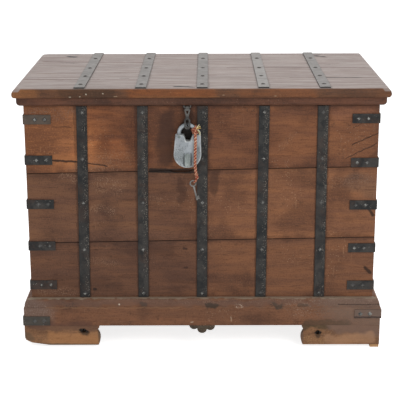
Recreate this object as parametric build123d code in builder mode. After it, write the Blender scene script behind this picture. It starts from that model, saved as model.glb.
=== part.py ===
from build123d import *
import os
from math import asin, atan2, cos, degrees, hypot, pi, radians, sin, tan

# An iron-bound wooden chest: boards held by nailed straps on a moulded plinth, a lid on strap
# hinges, a hasp, and a padlock that hangs from its own staple with the key on a cord.
# Millimetres. X runs along the chest, Y from front to back, Z up. The origin is on the floor,
# under the middle of the chest.

os.makedirs("parts", exist_ok=True)

# ---------------------------------------------------------------- carcase sizes
body_width = 1004.0
body_depth = 610.0
board_thickness = 22.0
board_heights = (235.0, 209.2, 188.2)  # bottom, middle and top board of each wall
board_gap = 0.8  # shrinkage between neighbouring boards
board_arris = 1.2  # worn long edges of the boards
front_seam_rises = (16.0, 19.0)  # how far the joints between the front boards climb to the right
floor_thickness = 22.0
floor_boards_count = 3
chip_length = 70.0  # where the middle front board has lost a splinter
chip_depth = 5.0
chip_into_board = 9.0
chip_x = -58.0

# ---------------------------------------------------------------- plinth sizes
packing_thickness = 9.0
packing_width = 26.0
packing_length = 40.0
packing_setback = 1.0
packing_setback_worn = 60.0  # behind the foot whose corner is worn away
worn_corner = ((24.0, 0.8), (11.0, 0.15))  # rise at the corner, and slope, of each worn face
foot_height = 61.0
foot_length_left = 221.0
foot_length_right = 230.0
side_foot_length = 180.0
foot_hole_radius = 7.0
foot_hole_left = (175.0, 45.0)  # from the foot's outer end, and above its bottom
foot_hole_right = (182.0, 38.0)
foot_toe_in = 4.0  # the foot's inner end, from its greatest length: the toe,
foot_bulge_out = 1.5  # the bulge above it,
foot_cusp_in = 9.0  # and the cusp under the lobe
foot_lobe_in = 2.5
foot_levels = (0.28, 0.74, 0.80, 0.86)  # bulge, cusp, foot and middle of the lobe, up the foot
rail_height = 82.0
plinth_thickness = 22.0
plinth_ledge = 9.0  # flat top of the rail
ovolo_height = 26.0
quirk = 2.0  # small step under the ovolo
drop_width = 76.0
drop_depth = 24.5
drop_thickness = 18.0
drop_setback = 1.0
lobe_radius = 14.4
lobe_rises = (2.0, -1.0)  # of the left and right lobes' middles, from the rail's underside
boss_radius = 5.0
boss_drop = 6.0
boss_sides = 8
boss_taper = 35.0
boss_proud = 1.5

# ---------------------------------------------------------------- lid sizes
lid_gap = 0.3
lid_rail_height = 24.5
lid_board_thickness = 26.5
nosing_out = 28.0
nosing_arris = 10.0  # how far the flat top stops short of the nose
nosing_heel = 6.0  # how far the flat underside stops short of it
nosing_tip = 10.5  # the nose's furthest point, above the underside
lid_rail_out = 17.0
lid_ovolo_radius = 13.0
lid_seams = (158.0, 336.0, 482.0)  # from the front of the body
lid_back_corner_left = 34.0
lid_back_corner_right = 18.0
batten_width = 60.0
batten_thickness = 20.0

# ---------------------------------------------------------------- ironwork sizes
strap_width = 30.0
strap_thickness = 3.0
strap_arris = 0.7
strap_spacing = 172.0
strap_top_drop = 2.0  # below the body's top
strap_leans = (6.0, 5.5, 3.0, 5.5, -1.0)  # sideways, bottom to top
lid_strap_front_in = 1.0  # from the front edge of the lid's flat top
lid_strap_front_shift = 2.0
lid_strap_back_shift = 6.0
strap_nail_rises = (12.0, 147.0, 289.0, 419.0, 554.0)  # above the plinth
lid_nail_depths = (30.0, 163.0, 306.0, 488.0)  # from the front of the body
corner_strap_width = 27.0
corner_strap_leg = 76.0
corner_nails = (31.0, 59.0)  # along each leg, from the corner
corner_strap_rises_left = (39.0, 159.0, 285.0, 416.0, 534.0)  # above the plinth
corner_strap_rises_right = (36.0, 151.0, 281.0, 407.0, 535.0)
plinth_strap_rise_left = 16.0  # above the plinth's bottom
plinth_strap_rise_right = 36.0
nail_head = 10.5
nail_head_height = 2.4
nail_head_taper = 52.0
nail_shank = 4.0
nail_hole = 4.3
nail_length = 19.0

# ---------------------------------------------------------------- hinge sizes
knuckle_radius = 7.0
knuckle_stand_off = 0.5  # between the knuckles and the boards
hinge_pin_radius = 3.5
pin_clearance = 0.05
knuckle_gap = 0.3
hinge_pin_head_radius = 5.2
hinge_pin_head = 2.0
hinge_straps = (0, 2, 4)  # the straps, counted from the left, that carry a hinge
back_leaf_drop = 36.0

# ---------------------------------------------------------------- hasp and padlock sizes
clearance = 0.3  # between pieces that move past each other
lock_x = -40.0
staple_drop = 52.5  # from the body's top to the middle of the front staple
staple_rod = 4.5
staple_play = 0.9
shackle_rod = 11.0
shackle_span = 47.0  # between the middles of its legs
shackle_rise = 23.5  # from the middle of the bow's arc to its top
shackle_leg = 14.0  # below the arc, on the free side
lock_thickness = 26.0
lock_width = 78.0
lock_top_width = 73.0
lock_bottom = 122.5  # below the shackle's top centreline
lock_belly = 81.5
lock_shoulder = 27.5
lock_shoulder_in = 1.5
lock_corner = 4.4
notch_depth = 18.0
notch_top_width = 26.0
notch_bottom_width = 12.0
notch_shift = 2.0  # to the right of the lock's middle
lock_edge = 2.2
pivot_drop = 32.5
shackle_pin_radius = 2.5
socket_play = 0.8
slot_play = 0.3
slot_end_play = 0.45
slot_floor = 4.0  # how far the slot goes below the shackle's pin
eye_swell = 0.5
eye_shoulder = 0.5
cover_top_radius = 8.0
cover_foot_radius = 7.0
cover_length = 40.0
cover_thickness = 2.5
cover_pivot_drop = 88.0
cover_recess_width = 25.0  # the sunk panel behind the cover
cover_recess_top = 93.5
cover_recess_bottom = 116.5
cover_recess_depth = 3.0
rivet_radius = 2.0
rivet_head_radius = 4.2
rivet_head = 1.5
rivet_head_taper = 20.0
keyhole_radius = 3.5
keyhole_drop = 100.0
keyhole_slot = 9.0
keyhole_slot_width = 3.0
keyhole_depth = 14.0
hasp_pivot_out = 7.0
hasp_roll_radius = 5.0
hasp_roll_gap = 0.8
hasp_roll_length = 9.0
hasp_thickness = 4.5
hasp_bar = 4.5
hasp_width = 17.0
hasp_waist = 9.5
hasp_waist_slot = 3.0
hasp_shoulder_at = 7.0
hasp_waist_at = 23.0
hasp_eye_play = 1.7
hasp_staple_span = 18.0
hasp_staple_leg = 17.0
bend_radius = 3.5

# ---------------------------------------------------------------- cord and key sizes
cord_diameter = 8.0
cord_x = 22.2
knot_gap = 0.1
cord_rest = 7.7  # from the padlock's front to the middle of the cord
knot_cord = 8.4
knot_angle = 60.0  # round the shackle from its top
key_bow_radius = 8.0
key_bow_rod = 4.0
key_hang_angle = 50.0  # where the cord holds the bow
key_x = 15.4  # middle of the bow, from the padlock's centre line
key_drop = 165.5  # and from the top of the shackle
key_lean = 13.3
key_collar_radius = 3.6
key_collar = 3.0
key_ward = 2.0
key_length = 50.0  # from the middle of the bow
key_shank_radius = 2.5
key_bit_length = 9.0
key_bit_out = 8.0
key_bit_thickness = 2.5
link_cord = 5.0
link_radius = 6.5

# ---------------------------------------------------------------- derived levels
foot_bottom = packing_thickness
rail_bottom = foot_bottom + foot_height
floor_top = rail_bottom + floor_thickness
plinth_top = rail_bottom + rail_height
body_top = floor_top + sum(board_heights) + (len(board_heights) - 1) * board_gap
lid_bottom = body_top + lid_gap
lid_board_bottom = lid_bottom + lid_rail_height
lid_top = lid_board_bottom + lid_board_thickness

# The padlock hangs with its back just clear of the straps. The staple's bow is concentric with
# the shackle's rod, and the hasp leans outwards just clear of that bow.
staple_z = body_top - staple_drop
shackle_out = strap_thickness + clearance + lock_thickness / 2
staple_bow = shackle_rod / 2 + staple_play + staple_rod / 2
hasp_pivot_z = lid_bottom - hasp_roll_radius - hasp_roll_gap
hasp_drop = hasp_pivot_z - staple_z
hasp_stand_off = staple_bow + staple_rod / 2 + clearance + hasp_thickness / 2
hasp_side = shackle_out - hasp_pivot_out
hasp_lean = degrees(atan2(hasp_side, hasp_drop) + asin(hasp_stand_off / hypot(hasp_side, hasp_drop)))
hasp_eye_length = 2 * (staple_bow + staple_rod / 2) + hasp_eye_play
hasp_length = hasp_drop + hasp_eye_length / 2 + hasp_bar
hasp_reach = (
    hasp_pivot_out
    + hasp_length * sin(radians(hasp_lean))
    + hasp_thickness / 2 * cos(radians(hasp_lean))
)

# The hinge axis lies just outside the back, level with the body's top.
hinge_out = knuckle_radius + knuckle_stand_off
rear_reach = plinth_thickness + strap_thickness + nail_head_height
front_y = -(body_depth + rear_reach - hasp_reach) / 2
back_y = front_y + body_depth
side_x = body_width / 2
hinge_y = back_y + hinge_out
hinge_z = body_top
strap_xs = tuple(strap_spacing * (i - 2) for i in range(5))

# Planes on the four faces of the body: X along the face, Y up, Z outwards.
front_face = Plane(origin=(0, front_y, 0), x_dir=(1, 0, 0), z_dir=(0, -1, 0))
back_face = Plane(origin=(0, back_y, 0), x_dir=(-1, 0, 0), z_dir=(0, 1, 0))
left_face = Plane(origin=(-side_x, 0, 0), x_dir=(0, -1, 0), z_dir=(-1, 0, 0))
right_face = Plane(origin=(side_x, 0, 0), x_dir=(0, 1, 0), z_dir=(1, 0, 0))
# Planes across the four sides: X outwards from the face, Y up. Mouldings are drawn on them.
front_section = Plane(origin=(0, front_y, 0), x_dir=(0, -1, 0), z_dir=(-1, 0, 0))
back_section = Plane(origin=(0, back_y, 0), x_dir=(0, 1, 0), z_dir=(1, 0, 0))
left_section = Plane(origin=(-side_x, 0, 0), x_dir=(-1, 0, 0), z_dir=(0, 1, 0))
right_section = Plane(origin=(side_x, 0, 0), x_dir=(1, 0, 0), z_dir=(0, -1, 0))
corners = {
    "front_left": (-1, -1),
    "front_right": (1, -1),
    "back_left": (-1, 1),
    "back_right": (1, 1),
}


def keep(part, name):
    """Label a finished piece and write it to its own file."""
    part.label = name
    export_step(part, f"parts/{name}.step")


def group(parts, name):
    """Write several loose pieces as one labelled group."""
    keep(Compound(children=parts), name)


def raised(plane, height):
    """The same plane, its origin that much higher."""
    return Plane(origin=plane.origin + Vector(0, 0, height), x_dir=plane.x_dir, z_dir=plane.z_dir)


def face_y(side_y):
    return front_y if side_y < 0 else back_y


def mitre(side_x_sign, side_y_sign, for_long_side):
    """The mitre plane at one corner, facing the long (front or back) piece or the side piece."""
    turn = 1 if for_long_side else -1
    return Plane(
        origin=(side_x_sign * side_x, face_y(side_y_sign), 0),
        z_dir=(-side_x_sign * turn, side_y_sign * turn, 0),
    )


def moulding(section, plane, cuts):
    """A section run along one side and cut off at each end by a plane."""
    with BuildPart() as length:
        with BuildSketch(plane):
            add(section)
        extrude(amount=body_width, both=True)
        for cut in cuts:
            split(bisect_by=cut, keep=Keep.TOP)
    return length.part


# ---------------------------------------------------------------- wall boards
wall_names = ("bottom", "middle", "top")
inner_depth = body_depth - 2 * board_thickness


def board_base(level):
    return floor_top + sum(board_heights[:level]) + level * board_gap


def wall_board(face, length, level, seam_rises=(0.0, 0.0)):
    """One board of a wall, in from its face. Its long outer edges are worn, and may climb."""
    base = board_base(level)
    top = base + board_heights[level]
    low, high = (rise / 2 for rise in (0.0, *seam_rises, 0.0)[level : level + 2])
    with BuildPart() as board:
        with BuildSketch(face):
            with BuildLine():
                Polyline(
                    (-length / 2, base - low),
                    (length / 2, base + low),
                    (length / 2, top + high),
                    (-length / 2, top - high),
                    close=True,
                )
            make_face()
        extrude(amount=-board_thickness)
        outer = board.faces().sort_by(Axis(face.origin, face.z_dir))[-1]
        chamfer(outer.edges().sort_by(Edge.length)[-2:], length=board_arris)
    return board.part


for level, level_name in enumerate(wall_names):
    with BuildPart() as front_board:
        add(wall_board(front_face, body_width, level, front_seam_rises))
        if level_name == "middle":
            chip_slope = front_seam_rises[1] / body_width
            chip_z = board_base(level) + board_heights[level] + chip_x * chip_slope
            chip_start = (chip_x - chip_length / 2, chip_z - chip_slope * chip_length / 2)
            chip_end = (chip_x + chip_length / 2, chip_z + chip_slope * chip_length / 2)
            with BuildSketch(front_face):
                with BuildLine():
                    SagittaArc(chip_start, chip_end, -chip_depth)
                    Line(chip_start, chip_end)
                make_face()
            extrude(amount=-chip_into_board, mode=Mode.SUBTRACT)
        if level_name == "top":
            with BuildSketch(front_face):
                with Locations((lock_x, staple_z - staple_bow), (lock_x, staple_z + staple_bow)):
                    Circle(staple_rod / 2 + pin_clearance)
            extrude(amount=-board_thickness, mode=Mode.SUBTRACT)
    keep(front_board.part, f"front_board_{level_name}")
    keep(wall_board(back_face, body_width, level), f"back_board_{level_name}")

    # The side boards stand between the front and the back.
    middle_y = (front_y + back_y) / 2
    for side_name, face in (("left", left_face), ("right", right_face)):
        centred = Plane(origin=face.origin + Vector(0, middle_y, 0), x_dir=face.x_dir, z_dir=face.z_dir)
        keep(wall_board(centred, inner_depth, level), f"{side_name}_board_{level_name}")

# ---------------------------------------------------------------- floor
floor_board_depth = (body_depth - (floor_boards_count - 1) * board_gap) / floor_boards_count
with BuildPart() as floor_boards:
    with BuildSketch(Plane.XY.offset(rail_bottom)):
        for i in range(floor_boards_count):
            with Locations((0, front_y + floor_board_depth / 2 + i * (floor_board_depth + board_gap))):
                Rectangle(body_width, floor_board_depth)
    extrude(amount=floor_thickness)
keep(floor_boards.part, "floor_boards")

# ---------------------------------------------------------------- plinth rails
with BuildSketch() as plinth_section:
    with BuildLine():
        ovolo_base = rail_height - ovolo_height
        ovolo_start = plinth_thickness - quirk
        Polyline(
            (plinth_ledge, rail_height),
            (0, rail_height),
            (0, 0),
            (plinth_thickness, 0),
            (plinth_thickness, ovolo_base),
            (ovolo_start, ovolo_base),
        )
        ovolo_out = ovolo_start - plinth_ledge
        EllipticalCenterArc((plinth_ledge, ovolo_base), ovolo_out, ovolo_height, arc_size=90)
    make_face()
plinth_profile = plinth_section.sketch

for name, plane, cuts in (
    ("plinth_front", front_section, (mitre(-1, -1, True), mitre(1, -1, True))),
    ("plinth_back", back_section, (mitre(-1, 1, True), mitre(1, 1, True))),
    ("plinth_left", left_section, (mitre(-1, -1, False), mitre(-1, 1, False))),
    ("plinth_right", right_section, (mitre(1, -1, False), mitre(1, 1, False))),
):
    keep(moulding(plinth_profile, raised(plane, rail_bottom), cuts), name)


# ---------------------------------------------------------------- bracket feet
def foot_section(length):
    """A bracket foot from its outer corner inwards: a bulge, a cusp and a small lobe."""
    with BuildSketch() as section:
        with BuildLine():
            toe = (length - foot_toe_in, 0)
            bulge_z, cusp_z, lobe_z, lobe_middle_z = (foot_height * level for level in foot_levels)
            cusp = (length - foot_cusp_in, cusp_z)
            lobe = (length - foot_cusp_in, lobe_z)
            Polyline((length, foot_height), (0, foot_height), (0, 0), toe)
            ThreePointArc(toe, (length + foot_bulge_out, bulge_z), cusp)
            Line(cusp, lobe)
            ThreePointArc(lobe, (length - foot_lobe_in, lobe_middle_z), (length, foot_height))
        make_face()
    return section.sketch


def foot_boards(sx, sy):
    """The two mitred boards of one foot. The front ones have a hole through them."""
    y = face_y(sy)
    length = foot_length_left if sx < 0 else foot_length_right
    with BuildPart() as long_board:
        long_plane = Plane(
            origin=(sx * (side_x + plinth_thickness), y, foot_bottom),
            x_dir=(-sx, 0, 0),
            z_dir=(0, sx, 0),
        )
        with BuildSketch(long_plane):
            add(foot_section(length))
            if sy < 0:
                with Locations(foot_hole_left if sx < 0 else foot_hole_right):
                    Circle(foot_hole_radius, mode=Mode.SUBTRACT)
        extrude(amount=plinth_thickness * sx * sy)
        split(bisect_by=mitre(sx, sy, True), keep=Keep.TOP)
    with BuildPart() as side_board:
        side_plane = Plane(
            origin=(sx * side_x, y + sy * plinth_thickness, foot_bottom),
            x_dir=(0, -sy, 0),
            z_dir=(-sy, 0, 0),
        )
        with BuildSketch(side_plane):
            add(foot_section(side_foot_length))
        extrude(amount=-plinth_thickness * sx * sy)
        split(bisect_by=mitre(sx, sy, False), keep=Keep.TOP)
    return [long_board.part, side_board.part]


def wear_plane(sx, sy, rise, slope):
    """A sloping plane that takes off the outer bottom corner of a foot, facing the wood that stays."""
    corner = (sx * (side_x + plinth_thickness), face_y(sy) + sy * plinth_thickness, foot_bottom + rise)
    return Plane(origin=corner, z_dir=(-sx * slope, -sy * slope, 1))


for name, (sx, sy) in corners.items():
    boards = foot_boards(sx, sy)
    if name == "front_left":
        for rise, slope in worn_corner:
            worn = wear_plane(sx, sy, rise, slope)
            boards = [split(board, bisect_by=worn, keep=Keep.TOP) for board in boards]
    group(boards, f"foot_{name}")

# New packing blocks under the feet. The front left one stands back, behind the worn corner.
with BuildPart() as packing_blocks:
    with BuildSketch(Plane.XY):
        for name, (sx, sy) in corners.items():
            back = packing_setback_worn if name == "front_left" else packing_setback
            x = sx * (side_x + plinth_thickness - packing_setback - packing_width / 2)
            y = face_y(sy) + sy * (plinth_thickness - back - packing_length / 2)
            with Locations((x, y)):
                Rectangle(packing_width, packing_length)
    extrude(amount=packing_thickness)
keep(packing_blocks.part, "packing_blocks")

# ---------------------------------------------------------------- carved drop under the front rail
lobe_out = drop_width / 2 - lobe_radius
lobes = (
    (-lobe_out, lobe_rises[0]),
    (0, lobe_radius - drop_depth),
    (lobe_out, lobe_rises[1]),
)
drop_plane = Plane(
    origin=(0, front_y - plinth_thickness + drop_setback, rail_bottom), x_dir=(1, 0, 0), z_dir=(0, -1, 0)
)
with BuildPart() as apron_drop:
    with BuildSketch(drop_plane):
        for centre in lobes:
            with Locations(centre):
                Circle(lobe_radius)
        with Locations((0, drop_depth)):
            Rectangle(2 * drop_width, 2 * drop_depth, mode=Mode.SUBTRACT)
    extrude(amount=-drop_thickness)
    with BuildSketch(drop_plane):
        for x, z in lobes:
            with Locations((x, min(z, 0) - boss_drop)):
                RegularPolygon(boss_radius, boss_sides)
    extrude(amount=drop_setback + boss_proud, taper=boss_taper)
keep(apron_drop.part, "apron_drop")


# ---------------------------------------------------------------- lid boards
def nose(line_x, outwards):
    """The rounded nosing of the lid boards, from its underside to its flat top."""
    under = (line_x + outwards * (nosing_out - nosing_heel), lid_board_bottom)
    tip = (line_x + outwards * nosing_out, lid_board_bottom + nosing_tip)
    top = (line_x + outwards * (nosing_out - nosing_arris), lid_top)
    TangentArc(tip, under, tangent=(0, -1))
    TangentArc(tip, top, tangent=(0, 1))
    return under, top


with BuildSketch(Plane.XZ) as lid_across:
    with BuildLine():
        left_under, left_top = nose(-side_x, -1)
        right_under, right_top = nose(side_x, 1)
        Line(left_under, right_under)
        Line(left_top, right_top)
    make_face()

seam_ys = [front_y + seam for seam in lid_seams]
lid_board_fronts = [None] + [y + board_gap / 2 for y in seam_ys]
lid_board_backs = [y - board_gap / 2 for y in seam_ys] + [back_y]
for i, (near, far) in enumerate(zip(lid_board_fronts, lid_board_backs)):
    with BuildPart() as lid_board:
        extrude(to_extrude=lid_across.sketch, amount=body_depth, both=True)
        with BuildSketch(Plane.YZ):
            with BuildLine():
                if near is None:
                    under, top = nose(front_y, -1)
                else:
                    under, top = (near, lid_board_bottom), (near, lid_top)
                    Line(under, top)
                Polyline(under, (far, lid_board_bottom), (far, lid_top), top)
            make_face()
        extrude(amount=body_width, both=True, mode=Mode.INTERSECT)
        if far == back_y:
            with BuildSketch(Plane.XY) as plan:
                with Locations((0, (near + far) / 2)):
                    Rectangle(body_width + 2 * nosing_out, far - near)
                back_left, back_right = plan.vertices().group_by(Axis.Y)[-1].sort_by(Axis.X)
                fillet(back_left, radius=lid_back_corner_left)
                fillet(back_right, radius=lid_back_corner_right)
            extrude(amount=2 * lid_top, both=True, mode=Mode.INTERSECT)
    keep(lid_board.part, f"lid_board_{i + 1}")

# ---------------------------------------------------------------- lid rails and battens
with BuildSketch() as lid_rail_section:
    with BuildLine():
        ovolo_foot = (lid_rail_out - lid_ovolo_radius, 0)
        ovolo_head = (lid_rail_out, lid_ovolo_radius)
        Polyline(
            ovolo_head,
            (lid_rail_out, lid_rail_height),
            (-board_thickness, lid_rail_height),
            (-board_thickness, 0),
            ovolo_foot,
        )
        ovolo_mid = lid_ovolo_radius * cos(radians(45))
        ThreePointArc(
            ovolo_foot,
            (lid_rail_out - lid_ovolo_radius + ovolo_mid, lid_ovolo_radius - ovolo_mid),
            ovolo_head,
        )
    make_face()
lid_rail_profile = lid_rail_section.sketch
square_back = Plane(origin=(0, back_y, 0), z_dir=(0, -1, 0))
hasp_leg_xs = (lock_x - hasp_staple_span / 2, lock_x + hasp_staple_span / 2)

for name, plane, cuts in (
    ("lid_rail_front", front_section, (mitre(-1, -1, True), mitre(1, -1, True))),
    ("lid_rail_left", left_section, (mitre(-1, -1, False), square_back)),
    ("lid_rail_right", right_section, (mitre(1, -1, False), square_back)),
):
    with BuildPart() as lid_rail:
        add(moulding(lid_rail_profile, raised(plane, lid_bottom), cuts))
        if name == "lid_rail_front":
            with BuildSketch(Plane.XY.offset(lid_bottom)):
                with Locations(*[(x, front_y - hasp_pivot_out) for x in hasp_leg_xs]):
                    Circle(staple_rod / 2 + pin_clearance)
            extrude(amount=hasp_staple_leg, mode=Mode.SUBTRACT)
    keep(lid_rail.part, name)

with BuildPart() as lid_rail_back:
    with BuildSketch(Plane.XY.offset(lid_bottom)):
        with Locations((0, back_y - board_thickness / 2)):
            Rectangle(body_width - 2 * board_thickness, board_thickness)
    extrude(amount=lid_rail_height)
keep(lid_rail_back.part, "lid_rail_back")

with BuildPart() as lid_battens:
    with BuildSketch(Plane.XY.offset(lid_board_bottom)):
        for x in (-1.5 * strap_spacing, 1.5 * strap_spacing):
            with Locations((x, (front_y + back_y) / 2)):
                Rectangle(batten_width, inner_depth)
    extrude(amount=-batten_thickness)
keep(lid_battens.part, "lid_battens")


# ---------------------------------------------------------------- straps
def nail_holes(plane, points, depth):
    """Cut square nail holes into the part being built."""
    with BuildSketch(plane) as holes:
        with Locations(*points):
            Rectangle(nail_hole, nail_hole)
    return extrude(to_extrude=holes.sketch, amount=depth, mode=Mode.PRIVATE)


def leaning_strap(face, x, lean, bottom, top, nail_heights):
    """A flat strap on an upright face, leaning sideways, and the places of its nails."""
    half = strap_width / 2
    spots = [(x + lean * (z - bottom) / (top - bottom), z) for z in nail_heights]
    with BuildPart() as strap:
        with BuildSketch(face):
            with BuildLine():
                Polyline(
                    (x - half, bottom),
                    (x + half, bottom),
                    (x + lean + half, top),
                    (x + lean - half, top),
                    close=True,
                )
            make_face()
        extrude(amount=strap_thickness)
        outer = strap.faces().sort_by(Axis(face.origin, face.z_dir))[-1]
        long_edges = outer.edges().sort_by(Edge.length)[-2:]
        chamfer(long_edges, length=strap_arris)
        add(nail_holes(face, spots, strap_thickness), mode=Mode.SUBTRACT)
    return strap.part, spots


strap_bottom = plinth_top + clearance
strap_top = body_top - strap_top_drop
strap_nail_heights = [plinth_top + rise for rise in strap_nail_rises]
front_spots = []
for i, x in enumerate(strap_xs):
    front_strap, spots = leaning_strap(
        front_face, x, strap_leans[i], strap_bottom, strap_top, strap_nail_heights
    )
    keep(front_strap, f"front_strap_{i + 1}")
    front_spots += spots

# Back straps: three end in hinge knuckles, two are plain. On the back face X is reversed.
knuckle_length = (strap_width - 2 * knuckle_gap) / 3
knuckle_step = knuckle_length + knuckle_gap
leaf_notch = knuckle_radius + 2 * clearance  # how far each leaf stops short of the other's knuckles
leaf_end = 1.0  # where a leaf runs into its knuckle, from the axis


def knuckle(x, length):
    """A rolled knuckle round the hinge axis, centred at x."""
    plane = Plane(origin=(x, hinge_y, hinge_z), x_dir=(0, 1, 0), z_dir=(1, 0, 0))
    with BuildPart() as roll:
        with BuildSketch(plane):
            Circle(knuckle_radius)
            Circle(hinge_pin_radius + pin_clearance, mode=Mode.SUBTRACT)
        extrude(amount=length / 2, both=True)
    return roll.part


def back_leaf(x, width, bottom, top):
    """A length of strap on the chest's back, or on the lid's back edge."""
    with BuildPart() as leaf:
        with BuildSketch(back_face):
            with Locations((-x, (bottom + top) / 2)):
                Rectangle(width, top - bottom)
        extrude(amount=strap_thickness)
    return leaf.part


back_straps = []
back_spots = []
hinge_xs = [x + lid_strap_back_shift for x in strap_xs]
for i, x in enumerate(hinge_xs):
    top = hinge_z - leaf_notch if i in hinge_straps else strap_top
    plain_strap, spots = leaning_strap(back_face, -x, 0.0, strap_bottom, top, strap_nail_heights)
    back_spots += spots
    with BuildPart() as back_strap:
        add(plain_strap)
        if i in hinge_straps:
            for tongue_x in (x - knuckle_step, x + knuckle_step):
                add(back_leaf(tongue_x, knuckle_length, top, hinge_z - leaf_end))
                add(knuckle(tongue_x, knuckle_length))
    back_straps.append(back_strap.part)
group(back_straps, "back_straps")

# Lid straps run over the lid and down its back edge; three of them end in hinge knuckles.
lid_straps = []
lid_spots = []
lid_back_spots = []
strap_front_y = front_y - nosing_out + nosing_arris + lid_strap_front_in
lid_plane = Plane.XY.offset(lid_top)
for i, x in enumerate(strap_xs):
    near_x = x + lid_strap_front_shift
    far_x = hinge_xs[i]
    half = strap_width / 2
    far_y = back_y + strap_thickness
    spots = [
        (near_x + (far_x - near_x) * depth / body_depth, front_y + depth) for depth in lid_nail_depths
    ]
    lid_spots += spots
    hinged = i in hinge_straps
    leaf_bottom = hinge_z + leaf_notch if hinged else lid_top - back_leaf_drop
    leaf_spot = (-far_x, (lid_board_bottom + lid_top) / 2)
    lid_back_spots.append(leaf_spot)
    with BuildPart() as lid_strap:
        with BuildSketch(lid_plane):
            with BuildLine():
                Polyline(
                    (near_x - half, strap_front_y),
                    (near_x + half, strap_front_y),
                    (far_x + half, far_y),
                    (far_x - half, far_y),
                    close=True,
                )
            make_face()
        extrude(amount=strap_thickness)
        add(back_leaf(far_x, strap_width, leaf_bottom, lid_top))
        if hinged:
            add(back_leaf(far_x, knuckle_length, hinge_z + leaf_end, leaf_bottom))
            add(knuckle(far_x, knuckle_length))
        add(nail_holes(lid_plane, spots, strap_thickness), mode=Mode.SUBTRACT)
        add(nail_holes(back_face, [leaf_spot], strap_thickness), mode=Mode.SUBTRACT)
    lid_straps.append(lid_strap.part)
group(lid_straps, "lid_straps")

with BuildPart() as hinge_pins:
    for i in hinge_straps:
        pin_plane = Plane(origin=(hinge_xs[i], hinge_y, hinge_z), x_dir=(0, 1, 0), z_dir=(1, 0, 0))
        with BuildSketch(pin_plane):
            Circle(hinge_pin_radius)
        extrude(amount=strap_width / 2 + hinge_pin_head, both=True)
        for side in (-1, 1):
            with BuildSketch(pin_plane.offset(side * strap_width / 2)):
                Circle(hinge_pin_head_radius)
            extrude(amount=side * hinge_pin_head)
keep(hinge_pins.part, "hinge_pins")

# ---------------------------------------------------------------- corner straps
corner_nail_faces = []


def corner_strap(sx, sy, z, out):
    """An iron angle round one upright corner, standing on a surface that is out from the body."""
    x = sx * (side_x + out)
    y = face_y(sy) + sy * out
    t = strap_thickness
    with BuildPart() as angle:
        with BuildSketch(Plane.XY.offset(z - corner_strap_width / 2)):
            with BuildLine():
                Polyline(
                    (x + sx * t, y + sy * t),
                    (x + sx * t, y - sy * corner_strap_leg),
                    (x, y - sy * corner_strap_leg),
                    (x, y),
                    (x - sx * corner_strap_leg, y),
                    (x - sx * corner_strap_leg, y + sy * t),
                    close=True,
                )
            make_face()
        extrude(amount=corner_strap_width)
        long_face = (front_face if sy < 0 else back_face).offset(out)
        side_face = (left_face if sx < 0 else right_face).offset(out)
        long_turn = long_face.x_dir.X
        side_turn = side_face.x_dir.Y
        long_spots = [(long_turn * (x - sx * along), z) for along in corner_nails]
        side_spots = [(side_turn * (y - sy * along), z) for along in corner_nails]
        for face, spots in ((long_face, long_spots), (side_face, side_spots)):
            add(nail_holes(face, spots, strap_thickness), mode=Mode.SUBTRACT)
            corner_nail_faces.append((face.offset(strap_thickness), spots))
    return angle.part


for name, (sx, sy) in corners.items():
    rises = corner_strap_rises_left if sx < 0 else corner_strap_rises_right
    plinth_rise = plinth_strap_rise_left if sx < 0 else plinth_strap_rise_right
    angles = [corner_strap(sx, sy, plinth_top + rise, 0.0) for rise in rises]
    angles.append(corner_strap(sx, sy, rail_bottom + plinth_rise, plinth_thickness))
    group(angles, f"corner_straps_{name}")


# ---------------------------------------------------------------- nails
with BuildPart() as nail:
    with BuildSketch(Plane.XY):
        Rectangle(nail_head, nail_head, rotation=45)
    extrude(amount=nail_head_height, taper=nail_head_taper)
    with BuildSketch(Plane.XY):
        Rectangle(nail_shank, nail_shank)
    extrude(amount=-nail_length)


def driven_nails(faces, name):
    """The same forged nail at every spot, its head on the face and its shank into the wood."""
    nails = []
    for plane, spots in faces:
        nails += [nail.part.moved(plane.location * Location((x, y, 0))) for x, y in spots]
    group(nails, name)


driven_nails([(front_face.offset(strap_thickness), front_spots)], "front_strap_nails")
driven_nails([(back_face.offset(strap_thickness), back_spots)], "back_strap_nails")
driven_nails(corner_nail_faces, "corner_strap_nails")
lid_nail_faces = [
    (lid_plane.offset(strap_thickness), lid_spots),
    (back_face.offset(strap_thickness), lid_back_spots),
]
driven_nails(lid_nail_faces, "lid_strap_nails")

# ---------------------------------------------------------------- staples
staple_plane = Plane(origin=(lock_x, front_y, staple_z), x_dir=(0, -1, 0), z_dir=(-1, 0, 0))
with BuildPart() as lock_staple:
    with BuildLine(staple_plane) as staple_line:
        Line((-board_thickness, -staple_bow), (shackle_out, -staple_bow))
        ThreePointArc(
            (shackle_out, -staple_bow), (shackle_out + staple_bow, 0), (shackle_out, staple_bow)
        )
        Line((shackle_out, staple_bow), (-board_thickness, staple_bow))
    with BuildSketch(Plane(origin=staple_line.line @ 0, z_dir=staple_line.line % 0)):
        Circle(staple_rod / 2)
    sweep()
keep(lock_staple.part, "lock_staple")

with BuildPart() as hasp_staple:
    leg_x = hasp_staple_span / 2
    leg_top = lid_bottom + hasp_staple_leg - hasp_pivot_z
    with BuildLine(
        Plane(origin=(lock_x, front_y - hasp_pivot_out, hasp_pivot_z), x_dir=(1, 0, 0), z_dir=(0, -1, 0))
    ) as hasp_staple_line:
        FilletPolyline((-leg_x, leg_top), (-leg_x, 0), (leg_x, 0), (leg_x, leg_top), radius=bend_radius)
    with BuildSketch(Plane(origin=hasp_staple_line.line @ 0, z_dir=hasp_staple_line.line % 0)):
        Circle(staple_rod / 2)
    sweep()
keep(hasp_staple.part, "hasp_staple")

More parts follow.
